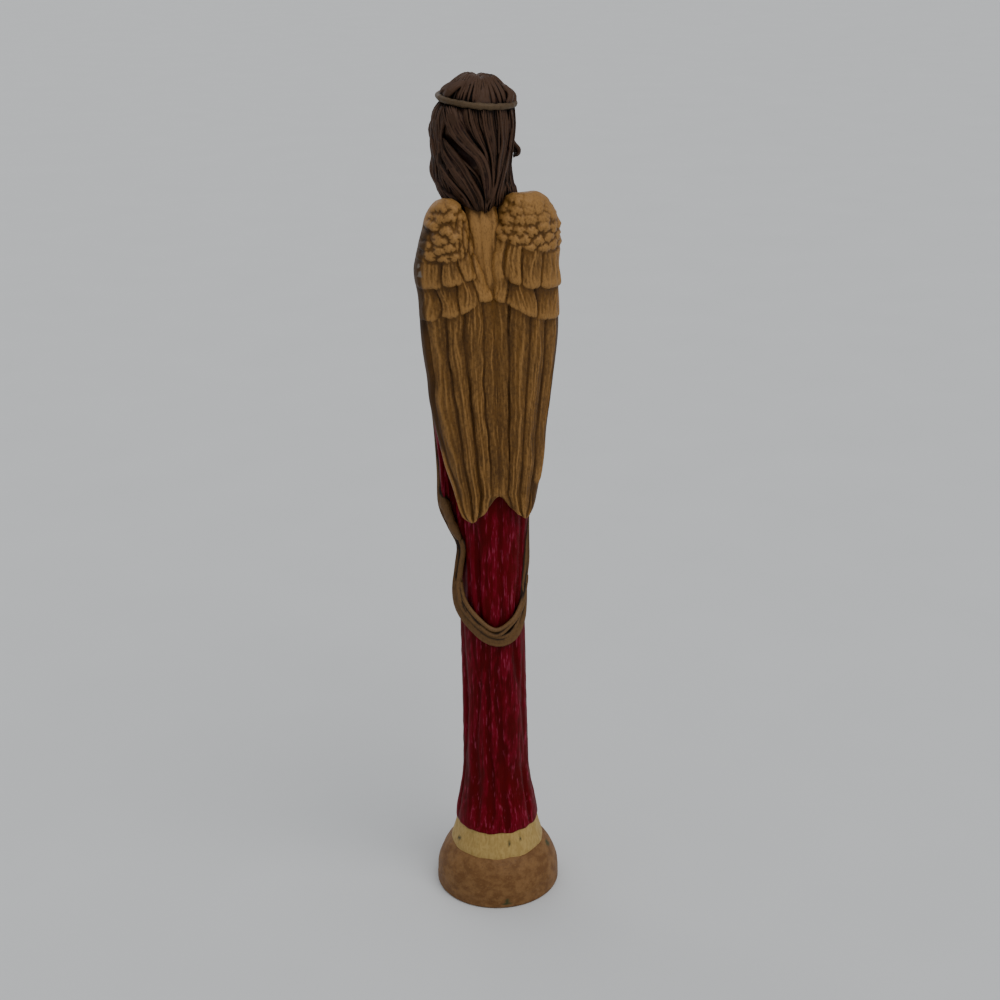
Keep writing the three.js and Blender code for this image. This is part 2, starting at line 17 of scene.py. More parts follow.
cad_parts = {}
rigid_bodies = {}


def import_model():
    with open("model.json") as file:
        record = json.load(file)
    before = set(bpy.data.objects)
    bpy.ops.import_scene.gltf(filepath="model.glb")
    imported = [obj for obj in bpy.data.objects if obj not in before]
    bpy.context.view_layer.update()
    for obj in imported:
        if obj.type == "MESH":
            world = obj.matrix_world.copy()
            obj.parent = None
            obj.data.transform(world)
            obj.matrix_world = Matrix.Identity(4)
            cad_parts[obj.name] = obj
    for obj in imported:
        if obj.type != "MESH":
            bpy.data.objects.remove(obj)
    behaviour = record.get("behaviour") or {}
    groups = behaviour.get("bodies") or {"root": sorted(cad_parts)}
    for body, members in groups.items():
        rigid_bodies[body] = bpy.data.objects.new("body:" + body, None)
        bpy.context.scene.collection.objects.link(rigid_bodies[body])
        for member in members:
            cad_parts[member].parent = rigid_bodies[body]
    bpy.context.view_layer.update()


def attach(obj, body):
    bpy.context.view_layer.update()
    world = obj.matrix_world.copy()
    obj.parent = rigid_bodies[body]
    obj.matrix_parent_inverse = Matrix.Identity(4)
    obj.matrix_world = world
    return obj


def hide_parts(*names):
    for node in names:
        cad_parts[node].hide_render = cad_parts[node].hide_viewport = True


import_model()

MM = 0.001

# Driving sizes, the same as the solid's
HEIGHT = 305
BASE_TOP = 18.8
UNDERSKIRT_HEM = 17.6
ROBE_HEM = 27.5
SWAG_BOTTOM = 105
SLEEVE_BOTTOM = 149.5
WING_TIP = 154
WING_TOP = 267
HAND_TIP = 241
CIRCLET_HEIGHT = 296.3
HEAD_CENTRE = np.array([3.3, -4.5, 281])
BASE_RADIUS = 23.4
SKIRT_RADIUS = 11.8
WING_HALF_WIDTH = 24.3
CIRCLET_RADIUS = 12.5
HEAD_TILT = math.radians(6)
UPPER_LEAN = 0.5
SPINE_SHIFT = 2.2
CLOSER_ARM = 1
ROBE_FOLDS = 9
FEATHERS_ACROSS = 4

# Most triangles in the casting
TRIANGLES = 196000

# Painted zones, in the order of the piece's materials
ZONES = ["gold", "trim", "robe", "hair", "skin", "linen", "ground", "bronze"]

# Camera at the photograph's viewing angle
CAMERA_PLACE = Vector((0.1073, 0.5520, 0.3793))
CAMERA_AZIMUTH = math.radians(169)
CAMERA_PITCH = math.radians(21.62)
CAMERA_ROLL = math.radians(1)
CAMERA_LENS = 61.2
CAMERA_SHIFT = 0.0085


def placed(name, data):
    """A new object in the scene that holds the data."""
    thing = bpy.data.objects.new(name, data)
    bpy.context.scene.collection.objects.link(thing)
    return thing


def make_camera():
    data = bpy.data.cameras.new("camera")
    data.lens = CAMERA_LENS
    data.shift_x = CAMERA_SHIFT
    data.clip_start = 0.01
    camera = placed("camera", data)
    away = Vector((math.sin(CAMERA_AZIMUTH), -math.cos(CAMERA_AZIMUTH), 0))
    forward = -math.cos(CAMERA_PITCH) * away - Vector((0, 0, math.sin(CAMERA_PITCH)))
    level = forward.cross(Vector((0, 0, 1))).normalized()
    upright = level.cross(forward)
    up = upright * math.cos(CAMERA_ROLL) + level * math.sin(CAMERA_ROLL)
    right = forward.cross(up)
    turn = Matrix((right, up, -forward)).transposed().to_4x4()
    camera.matrix_world = Matrix.Translation(CAMERA_PLACE) @ turn
    bpy.context.scene.camera = camera


make_camera()


# Helpers for shapes


def smoothstep(low, high, t):
    s = np.clip((np.asarray(t, float) - low) / (high - low), 0, 1)
    return s * s * (3 - 2 * s)


def bell(t):
    """One at zero, falling smoothly to nothing a little over two away."""
    return np.exp(-(t**2))


def turns(count):
    """Evenly spaced angles once around."""
    return 2 * np.pi * np.arange(count) / count


def along(table, t):
    """Smooth, never overshooting, value of each column of a table at each t."""
    rows = np.array(table, float)
    place, values = rows[:, 0], rows[:, 1:]
    t = np.clip(np.asarray(t, float), place[0], place[-1])
    i = np.clip(np.searchsorted(place, t, side="right") - 1, 0, len(place) - 2)
    span = np.diff(place)
    secant = np.diff(values, axis=0) / span[:, None]
    before, after = secant[:-1], secant[1:]
    same = before * after > 0
    slope = np.empty_like(values)
    slope[0] = secant[0]
    slope[-1] = secant[-1]
    slope[1:-1] = np.where(same, 2 * before * after / np.where(same, before + after, 1), 0)
    s = ((t - place[i]) / span[i])[..., None]
    wide = span[i][..., None]
    result = (
        (1 + 2 * s) * (1 - s) ** 2 * values[i]
        + s * (1 - s) ** 2 * wide * slope[i]
        + s * s * (3 - 2 * s) * values[i + 1]
        + s * s * (s - 1) * wide * slope[i + 1]
    )
    return [result[..., c] for c in range(result.shape[-1])]


def uneven(seed, *places):
    """Smooth wandering value, mostly between -1 and 1, at places given in wavelengths."""
    rng = np.random.default_rng(seed)
    total = 0
    for _ in range(5):
        angle = rng.uniform(0, 2 * np.pi)
        for place in places:
            angle = angle + 2 * np.pi * rng.uniform(0.4, 1.3) * rng.choice([-1, 1]) * place
        total = total + np.sin(angle)
    return total / 3


def uneven_around(seed, waves, angle, *places):
    """The same, at an angle around something, with about this many waves to its radius."""
    return uneven(seed, waves * np.cos(angle), waves * np.sin(angle), *places)


def lean(z):
    return UPPER_LEAN * smoothstep(150, 240, z)


def stacked(x, y, z):
    return np.stack(np.broadcast_arrays(x, y, z), axis=-1).astype(float)


shapes = []


def add_rings(rings, zone, move=None):
    """Closes rings of points with a fan at each end, and keeps the result with its zone."""
    count, around = rings.shape[:2]
    points = rings.reshape(-1, 3)
    middles = rings[[0, -1]].mean(axis=1)
    points = np.vstack([points, middles])
    if move is not None:
        points = move(points)
    i, j = np.meshgrid(np.arange(count - 1), np.arange(around), indexing="ij")
    a = (i * around + j).ravel()
    b = (i * around + (j + 1) % around).ravel()
    quads = np.stack([a, b, b + around, a + around], axis=1)
    j = np.arange(around)
    k = (j + 1) % around
    first = np.stack([np.full(around, count * around), k, j], axis=1)
    last = (count - 1) * around
    end = np.stack([np.full(around, count * around + 1), last + j, last + k], axis=1)
    triangles = np.vstack([quads[:, [0, 1, 2]], quads[:, [0, 2, 3]], first, end])
    p, q, r = (points[triangles[:, c]] for c in (0, 1, 2))
    volume = np.einsum("ij,ij->i", np.cross(p, q), r).sum()
    faces = [*quads.tolist(), *first.tolist(), *end.tolist()]
    if volume < 0:
        faces = [face[::-1] for face in faces]
    shapes.append((points, faces, zone))


def circle(sides):
    """Points of a round cross-section."""
    angle = turns(sides)
    return np.stack([np.cos(angle), np.sin(angle)], axis=1)


def curve(points, steps):
    """Evenly spaced places on a smooth line through the points, and its directions there."""
    p = np.array(points, float)
    p = np.vstack([2 * p[0] - p[1], p, 2 * p[-1] - p[-2]])
    gaps = np.linalg.norm(np.diff(p, axis=0), axis=1) ** 0.5
    knot = np.concatenate([[0], np.cumsum(gaps)])
    fine = []
    for i in range(1, len(p) - 2):
        t = np.linspace(knot[i], knot[i + 1], 12, endpoint=i == len(p) - 3)[:, None]

        def blend(low, high, k, m):
            return ((knot[m] - t) * low + (t - knot[k]) * high) / (knot[m] - knot[k])

        first = blend(p[i - 1], p[i], i - 1, i)
        second = blend(p[i], p[i + 1], i, i + 1)
        third = blend(p[i + 1], p[i + 2], i + 1, i + 2)
        early = blend(first, second, i - 1, i + 1)
        late = blend(second, third, i, i + 2)
        fine.append(blend(early, late, i, i + 1))
    fine = np.vstack(fine)
    run = np.concatenate([[0], np.cumsum(np.linalg.norm(np.diff(fine, axis=0), axis=1))])
    even = np.linspace(0, run[-1], steps + 1)
    places = np.stack([np.interp(even, run, fine[:, c]) for c in range(3)], axis=1)
    tangents = np.gradient(places, axis=0)
    return places, tangents / np.linalg.norm(tangents, axis=1, keepdims=True)


# Fixed directions for the thickness of a sweep
UPWARDS = (0, 0, 1)
SIDEWAYS = (1, 0, 0)


def away_from_axis(p):
    out = p * [1, 1, 0]
    return out / np.linalg.norm(out, axis=1, keepdims=True)


def sweep(points, zone, steps, section, outward, shape=None, move=None):
    """Sweeps a cross-section along a smooth line. The section function gives half width and half
    thickness at t. Outward is the direction of the thickness, or a function of the places."""
    shape = circle(8) if shape is None else shape
    places, tangents = curve(points, steps)
    t = np.linspace(0, 1, steps + 1)
    direction = outward(places) if callable(outward) else outward
    normal = np.broadcast_to(direction, places.shape)
    normal = normal - tangents * np.sum(normal * tangents, axis=1, keepdims=True)
    normal = normal / np.linalg.norm(normal, axis=1, keepdims=True)
    across = np.cross(tangents, normal)
    wide, thick = (np.broadcast_to(value, t.shape) for value in section(t))
    rings = (
        places[:, None]
        + across[:, None] * (wide[:, None] * shape[None, :, 0])[..., None]
        + normal[:, None] * (thick[:, None] * shape[None, :, 1])[..., None]
    )
    add_rings(rings, zone, move)


def side_move(side):
    """A shape made for the figure's left goes to the side given and leans with the figure. The
    right one hangs closer to the body."""

    def move(points):
        z = points[:, 2]
        closer = CLOSER_ARM * smoothstep(196, 170, z) if side < 0 else 0
        return (points - stacked(closer, 0, 0 * z)) * [side, 1, 1] + stacked(lean(z), 0, 0)

    return move


# Share of its section that a strand loses at a rounded end
END_LOSS = 0.97


def rounded(t, start=0.0, end=0.0):
    """Share of a strand's full radius at t, rounded off over these shares of its length."""
    share = np.ones_like(t)
    for reach, from_end in ((start, t), (end, 1 - t)):
        if reach:
            share = share * np.sqrt(1 - END_LOSS * (1 - np.clip(from_end / reach, 0, 1)) ** 2)
    return share


# Base, underskirt and robe


def add_base():
    profile = [
        [0, 0, 0],
        [0.14, BASE_RADIUS - 0.4, 0],
        [0.17, BASE_RADIUS, 0.7],
        [0.22, BASE_RADIUS, 2.4],
        [0.3, BASE_RADIUS - 0.1, 5],
        [0.39, BASE_RADIUS - 0.5, 8],
        [0.5, BASE_RADIUS - 1.6, 11.5],
        [0.61, BASE_RADIUS - 3.5, 15],
        [0.68, BASE_RADIUS - 5.1, 17],
        [0.75, BASE_RADIUS - 7, 18.2],
        [0.83, BASE_RADIUS - 9.4, BASE_TOP],
        [1, 4, BASE_TOP],
    ]
    angle = turns(120)
    t = np.concatenate([[0.09], np.linspace(0.13, 0.83, 40)])[:, None]
    radius, z = along(profile, t)
    lumps = uneven_around(11, 2, angle, z / 14)
    lumps = lumps + 0.5 * uneven_around(12, 4, angle, z / 5)
    radius = radius - 0.12 + 0.12 * lumps * smoothstep(0, 3, z)
    add_rings(stacked(radius * np.sin(angle), radius * np.cos(angle), z), "ground")


# Body sections: height, half width, half depth, centre x, centre y, depth of the folds.
BODY = [
    [ROBE_HEM - 1, 14.6, 14.4, 0, 0, 0.5],
    [ROBE_HEM + 0.4, 15.4, 15.1, 0, 0, 0.5],
    [36, 14.1, 13.8, 0, 0, 1],
    [43, 12.8, 12.6, 0, 0, 1],
    [52, SKIRT_RADIUS + 0.2, SKIRT_RADIUS, 0, 0, 0.9],
    [97, SKIRT_RADIUS - 0.2, SKIRT_RADIUS - 0.1, 0.2, 0, 0.8],
    [120, SKIRT_RADIUS - 0.2, SKIRT_RADIUS - 0.1, 0.3, 0, 0.8],
    [140, 12.2, 11.8, 0.1, 0, 0.8],
    [158, 13.4, 12, 0, 0, 0.8],
    [200, 14.4, 11.4, 0.4, 0, 0.7],
    [225, 16, 11.4, 1, -0.4, 0.6],
    [244, 17.4, 10.4, 1.8, -0.8, 0.5],
    [253, 14.5, 8.8, 2.3, -1, 0.3],
    [259, 8.6, 6.8, 2.7, -1.4, 0.1],
    [262, 6.4, 6.2, 2.9, -2.2, 0],
]

# Short creases between the robe's main folds
SHORT_CREASES = 46


def fold_relief(angle, z, depth):
    """Main folds of the robe, with shorter creases between them."""
    turned = angle + 0.1 * np.sin(z / 17 + 2 * angle) + 0.05 * np.sin(z / 8 + 4 * angle)
    t = (turned * ROBE_FOLDS / (2 * np.pi)) % 1
    strength = 0.85 + 0.35 * uneven_around(21, 1, angle, z / 60)
    relief = depth * (0.35 - 1.05 * strength * bell(np.minimum(t, 1 - t) / 0.13))
    rng = np.random.default_rng(22)
    for _ in range(SHORT_CREASES):
        middle = rng.uniform(30, 262)
        reach = rng.uniform(10, 42)
        place = rng.uniform(0, 2 * np.pi)
        slant = rng.uniform(-0.004, 0.004)
        width = rng.uniform(0.05, 0.1)
        cut = rng.uniform(0.35, 0.8) * depth
        line = place + slant * (z - middle) + 0.04 * np.sin(z / 9 + place)
        gap = (angle - line + np.pi) % (2 * np.pi) - np.pi
        fade = bell((z - middle) / reach)
        beside = bell(gap / width) - 0.55 * bell((gap - 1.9 * width) / width)
        relief = relief - cut * fade * beside
    return relief + 0.08 * uneven_around(23, 3, angle, z / 7)


def add_robe():
    angle = turns(176)
    heights = np.concatenate(
        [
            ROBE_HEM + np.array([-0.2, -0.3, -0.1, 0.4, 1.1, 2]),
            np.linspace(30.4, 162, 64),
            np.linspace(167, 258, 20),
            [259.5, 260.6, 261.4, 262],
        ]
    )
    z = heights[:, None]
    wide, deep, cx, cy, depth = along(BODY, np.maximum(z, ROBE_HEM + 0.4))
    relief = fold_relief(angle, z, depth)
    near_hem = smoothstep(ROBE_HEM + 3, ROBE_HEM, z)
    hem_rim = [-1.6, -0.6, -0.1, 0.1, 0.1]
    collar = [0.3, 0.2, -0.8]
    rims = np.zeros_like(z)
    rims[: len(hem_rim), 0] = hem_rim
    rims[-len(collar) :, 0] = collar
    radius = relief * (1 - 0.6 * near_hem) + rims
    ragged = 0.35 * uneven_around(24, 2.4, angle) * near_hem
    x = cx + (wide + radius) * np.sin(angle)
    y = cy + (deep + radius) * np.cos(angle)
    add_rings(stacked(x, y, z + ragged), "robe")


def add_underskirt():
    table = [
        [UNDERSKIRT_HEM - 1.6, 16.4],
        [UNDERSKIRT_HEM - 0.6, 17.2],
        [UNDERSKIRT_HEM + 0.6, 17.4],
        [20, 17.1],
        [23, 16.2],
        [ROBE_HEM, 15],
        [ROBE_HEM + 2, 14.2],
    ]
    angle = turns(132)
    hem_heights = UNDERSKIRT_HEM + np.array([-1.6, -1, -0.6, -0.1, 0.6])
    z = np.concatenate([hem_heights, np.linspace(19, ROBE_HEM + 2, 9)])[:, None]
    (radius,) = along(table, z)
    dents = 0.16 * uneven_around(31, 1.6, angle, z / 60)
    radius = radius + dents + 0.06 * uneven_around(32, 5, angle, z / 14)
    hem = 0.35 * uneven_around(33, 2, angle) * smoothstep(21, 17, z)
    add_rings(stacked(radius * np.sin(angle), 0.99 * radius * np.cos(angle), z + hem), "linen")


# Wing sections, given for the left: height, inner and outer x, y at the spine and at the outer
# edge, crown between them, thickness.
WING = [
    [WING_TIP, 9.2, 10.2, 14, 13.2, 0, 2],
    [WING_TIP + 1.4, 7.4, 11.8, 14.2, 12.6, 0.2, 2.6],
    [WING_TIP + 4, 4.4, 13.4, 14.4, 11.8, 0.5, 3],
    [WING_TIP + 8, 1.4, 14.6, 14.5, 10.8, 0.8, 3.4],
    [WING_TIP + 10.5, -0.5, 15.2, 14.5, 10.4, 1, 3.6],
    [173, -0.5, 17, 14.4, 9.6, 1.3, 3.8],
    [184, -0.5, 18.6, 14.2, 9, 1.6, 4],
    [202, -0.5, 21.5, 13.8, 8.6, 2, 4],
    [221, -0.5, 23.7, 12.8, 8, 2.6, 4.4],
    [233, -0.5, WING_HALF_WIDTH - 0.3, 11.2, 7, 4, 5],
    [241, 0.6, WING_HALF_WIDTH + 0.2, 10, 6, 5, 6],
    [249, 2.2, WING_HALF_WIDTH, 8.4, 5, 5.8, 7],
    [255, 3.4, WING_HALF_WIDTH - 0.9, 7.4, 4.4, 6, 7.4],
    [259.5, 5, WING_HALF_WIDTH - 2.2, 7, 4.2, 5.4, 7.4],
    [263, 6.4, WING_HALF_WIDTH - 4.2, 7, 4.4, 4.4, 7],
    [WING_TOP - 1.4, 8, WING_HALF_WIDTH - 6.4, 7.2, 5, 2.6, 5],
    [WING_TOP, 10, WING_HALF_WIDTH - 8.8, 7.4, 6, 0.6, 2],
]

# How far both wings' outer edges stand to the left at a height.
EDGE_SHIFT = [
    [WING_TIP, 0],
    [173, -0.3],
    [186, 0.2],
    [204, 0.4],
    [232, 0.1],
    [242, 0.6],
    [250, -0.9],
    [256, -1.6],
    [WING_TOP - 3.5, -0.9],
    [WING_TOP, -0.4],
]

# Edges of the long feathers from the spine to the outer edge, for the left wing and for the right.
LONG_EDGES = {1: [-0.2, 0.2, 0.44, 0.67, 0.93, 1.05], -1: [-0.2, 0.22, 0.5, 0.76, 1.05]}

# Each wing's rows of feathers, from the lowest: end at the outer edge, rise of the end towards the
# spine, and the edges of the feathers. The left wing's two lower rows stand a little higher.
ROWS = {
    1: [
        (226.6, 5.5, [-0.1, 0.24, 0.5, 0.76, 1.05]),
        (237.4, 5, [-0.1, 0.14, 0.38, 0.66, 1.05]),
        (247.8, 3, [-0.1, 0.5, 1.05]),
    ],
    -1: [
        (224.4, 5.5, [-0.1, 0.2, 0.6, 1.05]),
        (235.4, 5, [-0.1, 0.16, 0.4, 0.68, 1.05]),
        (249, 7, [-0.1, 0.5, 1.05]),
    ],
}

# How much further out the left wing's edge stands beside the middle of its long feathers
FULLER_LEFT = 0.8

# How much lower the left wing's top is
LEFT_TOP_DROP = 0.8

# Spacing of the tufts across and up
TUFTS_ACROSS = 3.9
TUFTS_UP = 3.3


def wing_plan(z, side):
    """Inner and outer edge, y at the spine and at the edge, crown and thickness of a wing."""
    near, far, spine, edge, crown, thick = along(WING, z)
    inner = near + side * SPINE_SHIFT * smoothstep(233, 247, z)
    fuller = FULLER_LEFT * smoothstep(164, 176, z) * smoothstep(208, 196, z) * (side > 0)
    outer = far + side * along(EDGE_SHIFT, z)[0] + fuller
    return inner, outer, spine, edge, crown, thick


def feather_at(place, edges):
    """Number of the feather at each place across the wing, the share across it, and its width."""
    edges = np.array(edges, float)
    number = np.clip(np.searchsorted(edges, place, side="right") - 1, 0, len(edges) - 2)
    wide = edges[number + 1] - edges[number]
    return number, np.clip((place - edges[number]) / wide, 0, 1), wide


def groove(t, width, reach):
    """Depth of the groove between feathers at share t across a feather of that width."""
    return bell(np.minimum(t, 1 - t) * width / reach)


# Lines along a feather: share of its width, and height
FEATHER_LINES = [(0.34, 0.14), (0.5, 0.24), (0.6, 0.2), (0.76, 0.12), (0.18, 0.1)]


def feather_lines(t, width, number, z, seed):
    """Shaft with a double line, and finer lines along a feather, none of them quite regular."""
    wander = 0.05 * uneven(seed, z / 34, 3.1 * number) + 0.02 * uneven(seed + 1, z / 9, number)
    relief = 0
    for place, height in FEATHER_LINES:
        own = place + 0.07 * np.sin(3.7 * number + 9 * place + seed)
        gap = (t - own - wander) * width
        fading = 0.6 + 0.7 * uneven(seed + 2, z / 22, 1.7 * number + 5 * place)
        relief = relief + height * fading * bell(gap / 0.28)
    return relief


def lumps_relief(x, z, centres, ground):
    """Ruffled tufts over their ground, each with its centre, half sizes, height, number of petals
    and turn."""
    relief = ground + np.zeros(np.broadcast(x, z).shape)
    for cx, cz, rx, rz, height, petals, turn in centres:
        dx = (x - cx) / rx
        dz = (z - cz) / rz
        way = np.arctan2(dz, dx)
        far = np.hypot(dx, dz)
        dome = np.clip(1 - far**2, 0, 1) ** 0.75 * (0.92 - 0.3 * dz)
        creases = 0.5 * (1 - np.abs(np.cos(petals * way / 2 + turn))) ** 2 * (1 - 0.5 * dz)
        creases = creases * smoothstep(0.1, 0.5, far) * smoothstep(1, 0.6, far)
        lump = height * dome - creases + ground
        relief = np.where(far < 1, np.maximum(relief, lump), relief)
    return relief


def plain_shoulder(x, z, side):
    """Share, at the right shoulder, of the plainer and larger forms."""
    return smoothstep(257, 261.5, z) * smoothstep(6, 12, x) * (side < 0)


def tuft_centres(side, low):
    """Places of the tufts in jittered rows, and of the thin feathers by the left wing's spine."""
    rng = np.random.default_rng(41 if side > 0 else 42)
    centres = []
    row = 0
    z = low + 0.4
    while z < WING_TOP + 0.5:
        inner, outer = wing_plan(z, side)[:2]
        bare = 0.42 * smoothstep(264, 258, z) if side > 0 else 0.02
        start = inner + bare * (outer - inner)
        count = max(2, round(float(outer - start) / TUFTS_ACROSS))
        for k in range(count + 1):
            share = (k + (0.5 if row % 2 else 0)) / count
            x = start + (outer - start) * share + rng.uniform(-0.6, 0.6)
            plain = float(plain_shoulder(x, z, side))
            size = rng.uniform(2.5, 3.2) * (1 + 0.5 * plain)
            height = rng.uniform(1.5, 2.3) * (1 - 0.35 * plain)
            petals = rng.integers(3, 5) if plain < 0.5 else 1
            place = x, z + rng.uniform(-0.7, 0.7)
            centres.append((*place, size, 0.95 * size, height, petals, rng.uniform(0, 6)))
        z += TUFTS_UP
        row += 1
    if side > 0:
        for k in range(5):
            for z in np.arange(low - 0.5 + 2.5 * (k % 2), WING_TOP - 2, 7):
                inner, outer = wing_plan(z, side)[:2]
                x = inner + (0.03 + 0.095 * k) * (outer - inner)
                centres.append((x, z + rng.uniform(-1, 1), 1.2, 5.4, rng.uniform(1.1, 1.7), 0, 0))
    return centres


def long_feathers(u, z, x, outer, width, side, seed):
    """Relief of the long feathers. The right wing's outer one ends a little higher."""
    straight = 0.35 * u + 0.65 * (x + 0.5) / (outer + 0.5)
    sway = 0.022 * uneven(seed + 2, z / 60, 2 * u) + 0.007 * uneven(seed + 3, z / 13, 3 * u)
    number, t, wide = feather_at(straight + sway, LONG_EDGES[side])
    strength = 0.7 + 0.45 * uneven(seed + 4, z / 40, 2.3 * number)
    strength = strength * (0.35 + 0.65 * smoothstep(WING_TIP + 2, WING_TIP + 18, z))
    relief = 0.5 * (1 - (2 * t - 1) ** 2) + 0.45 * (t - 0.5) * np.cos(2 * number + side)
    relief = relief - 0.6 * strength * groove(t, wide * width, 0.3)
    relief = relief + 1.4 * feather_lines(t, wide * width, number, z, seed + 5)
    ended = smoothstep(168, 164, z - 2.4 * np.abs(2 * t - 1) ** 3) * smoothstep(0.77, 0.8, u)
    return relief - 0.8 * ended * (side < 0)


def covert_row(u, z, width, side, row, seed):
    """Relief of a row of short feathers, and the share of it that shows at each place. One bold
    feather of the right wing's upper row hangs lower."""
    end, rise, edges = ROWS[side][row]
    next_end, next_rise, _ = ROWS[side][row + 1]
    sway = 0.025 * uneven(seed + 10 + row, u * 2, z / 16)
    number, t, wide = feather_at(u + sway, edges)
    jitter = 0.7 * np.sin(2.7 * number + 1.9 * row + 2 * side)
    bold = (number == 3) * (row == 1) * (side < 0)
    bow = 1.2 * np.abs(2 * t - 1) ** 3.6
    meeting = (end + ROWS[-side][row][0]) / 2
    lower = meeting + (end - meeting + jitter * (0.4 + 0.6 * u)) * smoothstep(0.02, 0.3, u)
    lower = lower + rise * (1 - u) ** 2 + bow - 1.2 * bold
    lower = lower + 2.2 * smoothstep(0.6, 0.3, u) * (row == 0)
    upper = next_end + next_rise * (1 - u) ** 2
    up = np.clip((z - lower) / (upper - lower), 0, 1)
    near_spine = 1 if row == 0 else smoothstep(0.06, 0.34, u)
    pillow = 0.6 * (1 - np.abs(2 * t - 1) ** 2.6) * (1 - 0.4 * up)
    layer = 0.8 - 0.9 * up + pillow + 0.55 * (t - 0.5) + 0.5 * bold
    layer = layer - 0.42 * groove(t, wide * width, 0.26) * (0.25 + 0.75 * near_spine)
    layer = layer + 1.4 * feather_lines(t, wide * width, number, z, seed + 20 + row)
    lip = np.sqrt(1 - (1 - np.clip((z - lower) / 2, 0, 1)) ** 2)
    return layer, lip * near_spine + (1 - near_spine) * smoothstep(-4, 3, z - lower)


def wing_carving(u, z, x, outer, width, side):
    """Relief of the feathers over the plain wing, at u from the spine to the outer edge."""
    seed = 50 if side > 0 else 70
    rough = 0.04 * uneven(seed, x / 1.1, z / 8) + 0.03 * uneven(seed + 1, x / 2.2, z / 2.6)
    relief = long_feathers(u, z, x, outer, width, side, seed) + rough
    for row in range(len(ROWS[side]) - 1):
        layer, shown = covert_row(u, z, width, side, row, seed)
        layer = layer + rough + 0.07 * uneven(seed + 30 + row, x / 1.3, z / 12)
        relief = relief + (layer - relief) * shown
    end, rise, _ = ROWS[side][-1]
    ground = -0.55 + 0.45 * plain_shoulder(x, z, side)
    layer = lumps_relief(x, z, tuft_centres(side, end), ground) + rough
    layer = layer + 0.09 * uneven(seed + 33, x / 1.5, z / 1.5)
    return relief + (layer - relief) * smoothstep(-2.6, -0.6, z - end - rise * (1 - u) ** 2)


def add_wing(side, top_drop):
    heights = np.concatenate(
        [
            [WING_TIP, WING_TIP + 0.5, WING_TIP + 1],
            np.linspace(WING_TIP + 1.6, WING_TIP + 11, 14),
            np.linspace(WING_TIP + 12.2, 221, 44),
            np.linspace(221.6, WING_TOP - 0.8, 98),
            [WING_TOP - 0.3, WING_TOP],
        ]
    )
    fine = np.linspace(0.03, 0.97, 84)
    back = np.concatenate([[0, 0.003, 0.01, 0.02], fine, [0.98, 0.99, 0.997, 1]])
    front = np.linspace(0.95, 0.05, 9)
    u = np.concatenate([back, front])[None, :]
    deep = np.concatenate([np.zeros(len(back)), np.ones(len(front))])[None, :]
    z = heights[:, None]
    inner, outer, spine, edge, crown, thick = wing_plan(z, side)
    merging = smoothstep(1.5, -0.5, inner) * (u < 0.5)
    rounding = np.sqrt(np.maximum(0, 1 - (2 * u - 1) ** 6))
    full = np.maximum(rounding, merging)
    fade = np.clip((outer - inner) / 6, 0, 1)
    width = outer - inner
    x = inner + width * u
    bare = edge + (spine - edge) * (1 - u * u) + crown * 4 * u * (1 - u)
    y = bare - 0.5 * thick * (1 - full) - deep * thick * full
    carve = wing_carving(u, z, x, outer, width, side) * fade
    carve = carve * (1 - 0.6 * smoothstep(0.93, 1, u) * smoothstep(250, 240, z))
    carve = np.where(deep > 0, 0.12 * np.sin(2 * np.pi * FEATHERS_ACROSS * u), carve)
    slope = np.gradient(y[:, : len(back)], axis=1) / np.gradient(x[:, : len(back)], axis=1)
    slope = np.pad(slope, ((0, 0), (0, len(front))), mode="constant")
    size = np.sqrt(1 + slope**2)
    outward = np.where(deep > 0, -1, 1)
    x = x - np.clip(slope, -2.5, 2.5) / size * carve * smoothstep(0.0, 0.1, u)
    y = y + outward * carve * np.maximum(1 / size, 0.35)
    dropped = z - top_drop * smoothstep(240, WING_TOP, z)
    rings = stacked(side * x, y, dropped)
    add_rings(rings, "gold", side_move(1))


def strip_share(points):
    """Share of the gold that is full on the strip between the wings."""
    x, y, z = points.T
    middle = 1 + 1.6 * smoothstep(232, 245, z)
    return np.exp(-(((x - middle) / 4.7) ** 4)) * smoothstep(229, 238, z) * smoothstep(0, 3, y)


def wing_tones(points):
    """How bright the gold is rubbed on the wings: full on the feathers' ridges, none in valleys, with
    painted shade along the outer edges and down the spine.
    """
    tones = np.full(len(points), 0.4)
    for side in (1, -1):
        x = side * (points[:, 0] - lean(points[:, 2]))
        z = points[:, 2]
        chosen = (points[:, 1] > 2) & (z > WING_TIP) & (z < WING_TOP) & (x > 0)
        x, z = x[chosen], z[chosen]
        inner, outer = wing_plan(z, side)[:2]
        u = np.clip((x - inner) / (outer - inner), 0, 1)
        relief = wing_carving(u, z, x, outer, outer - inner, side)
        # Painted shade along the wings' outer edges, stronger on the left wing
        rim = smoothstep(0.92, 0.96, u) * smoothstep(228, 220, z) * smoothstep(176, 190, z)
        rim = rim * (0.8 if side > 0 else 0.3)
        # Painted shade down the spine between the wings
        spine_shade = 0.12 * bell(x / 0.8) * smoothstep(224, 212, z)
        beside = 0.1 * smoothstep(0.44, 0.34, u) * smoothstep(244, 250, z) * (side > 0)
        gilt = 0.67 - 0.02 * smoothstep(222, 228, z) + 0.22 * smoothstep(244, 250, z)
        tones[chosen] = gilt * (0.44 + 0.38 * relief) - rim - spine_shade - beside
    return np.clip(np.maximum(tones, 0.7 * strip_share(points)), 0, 1)


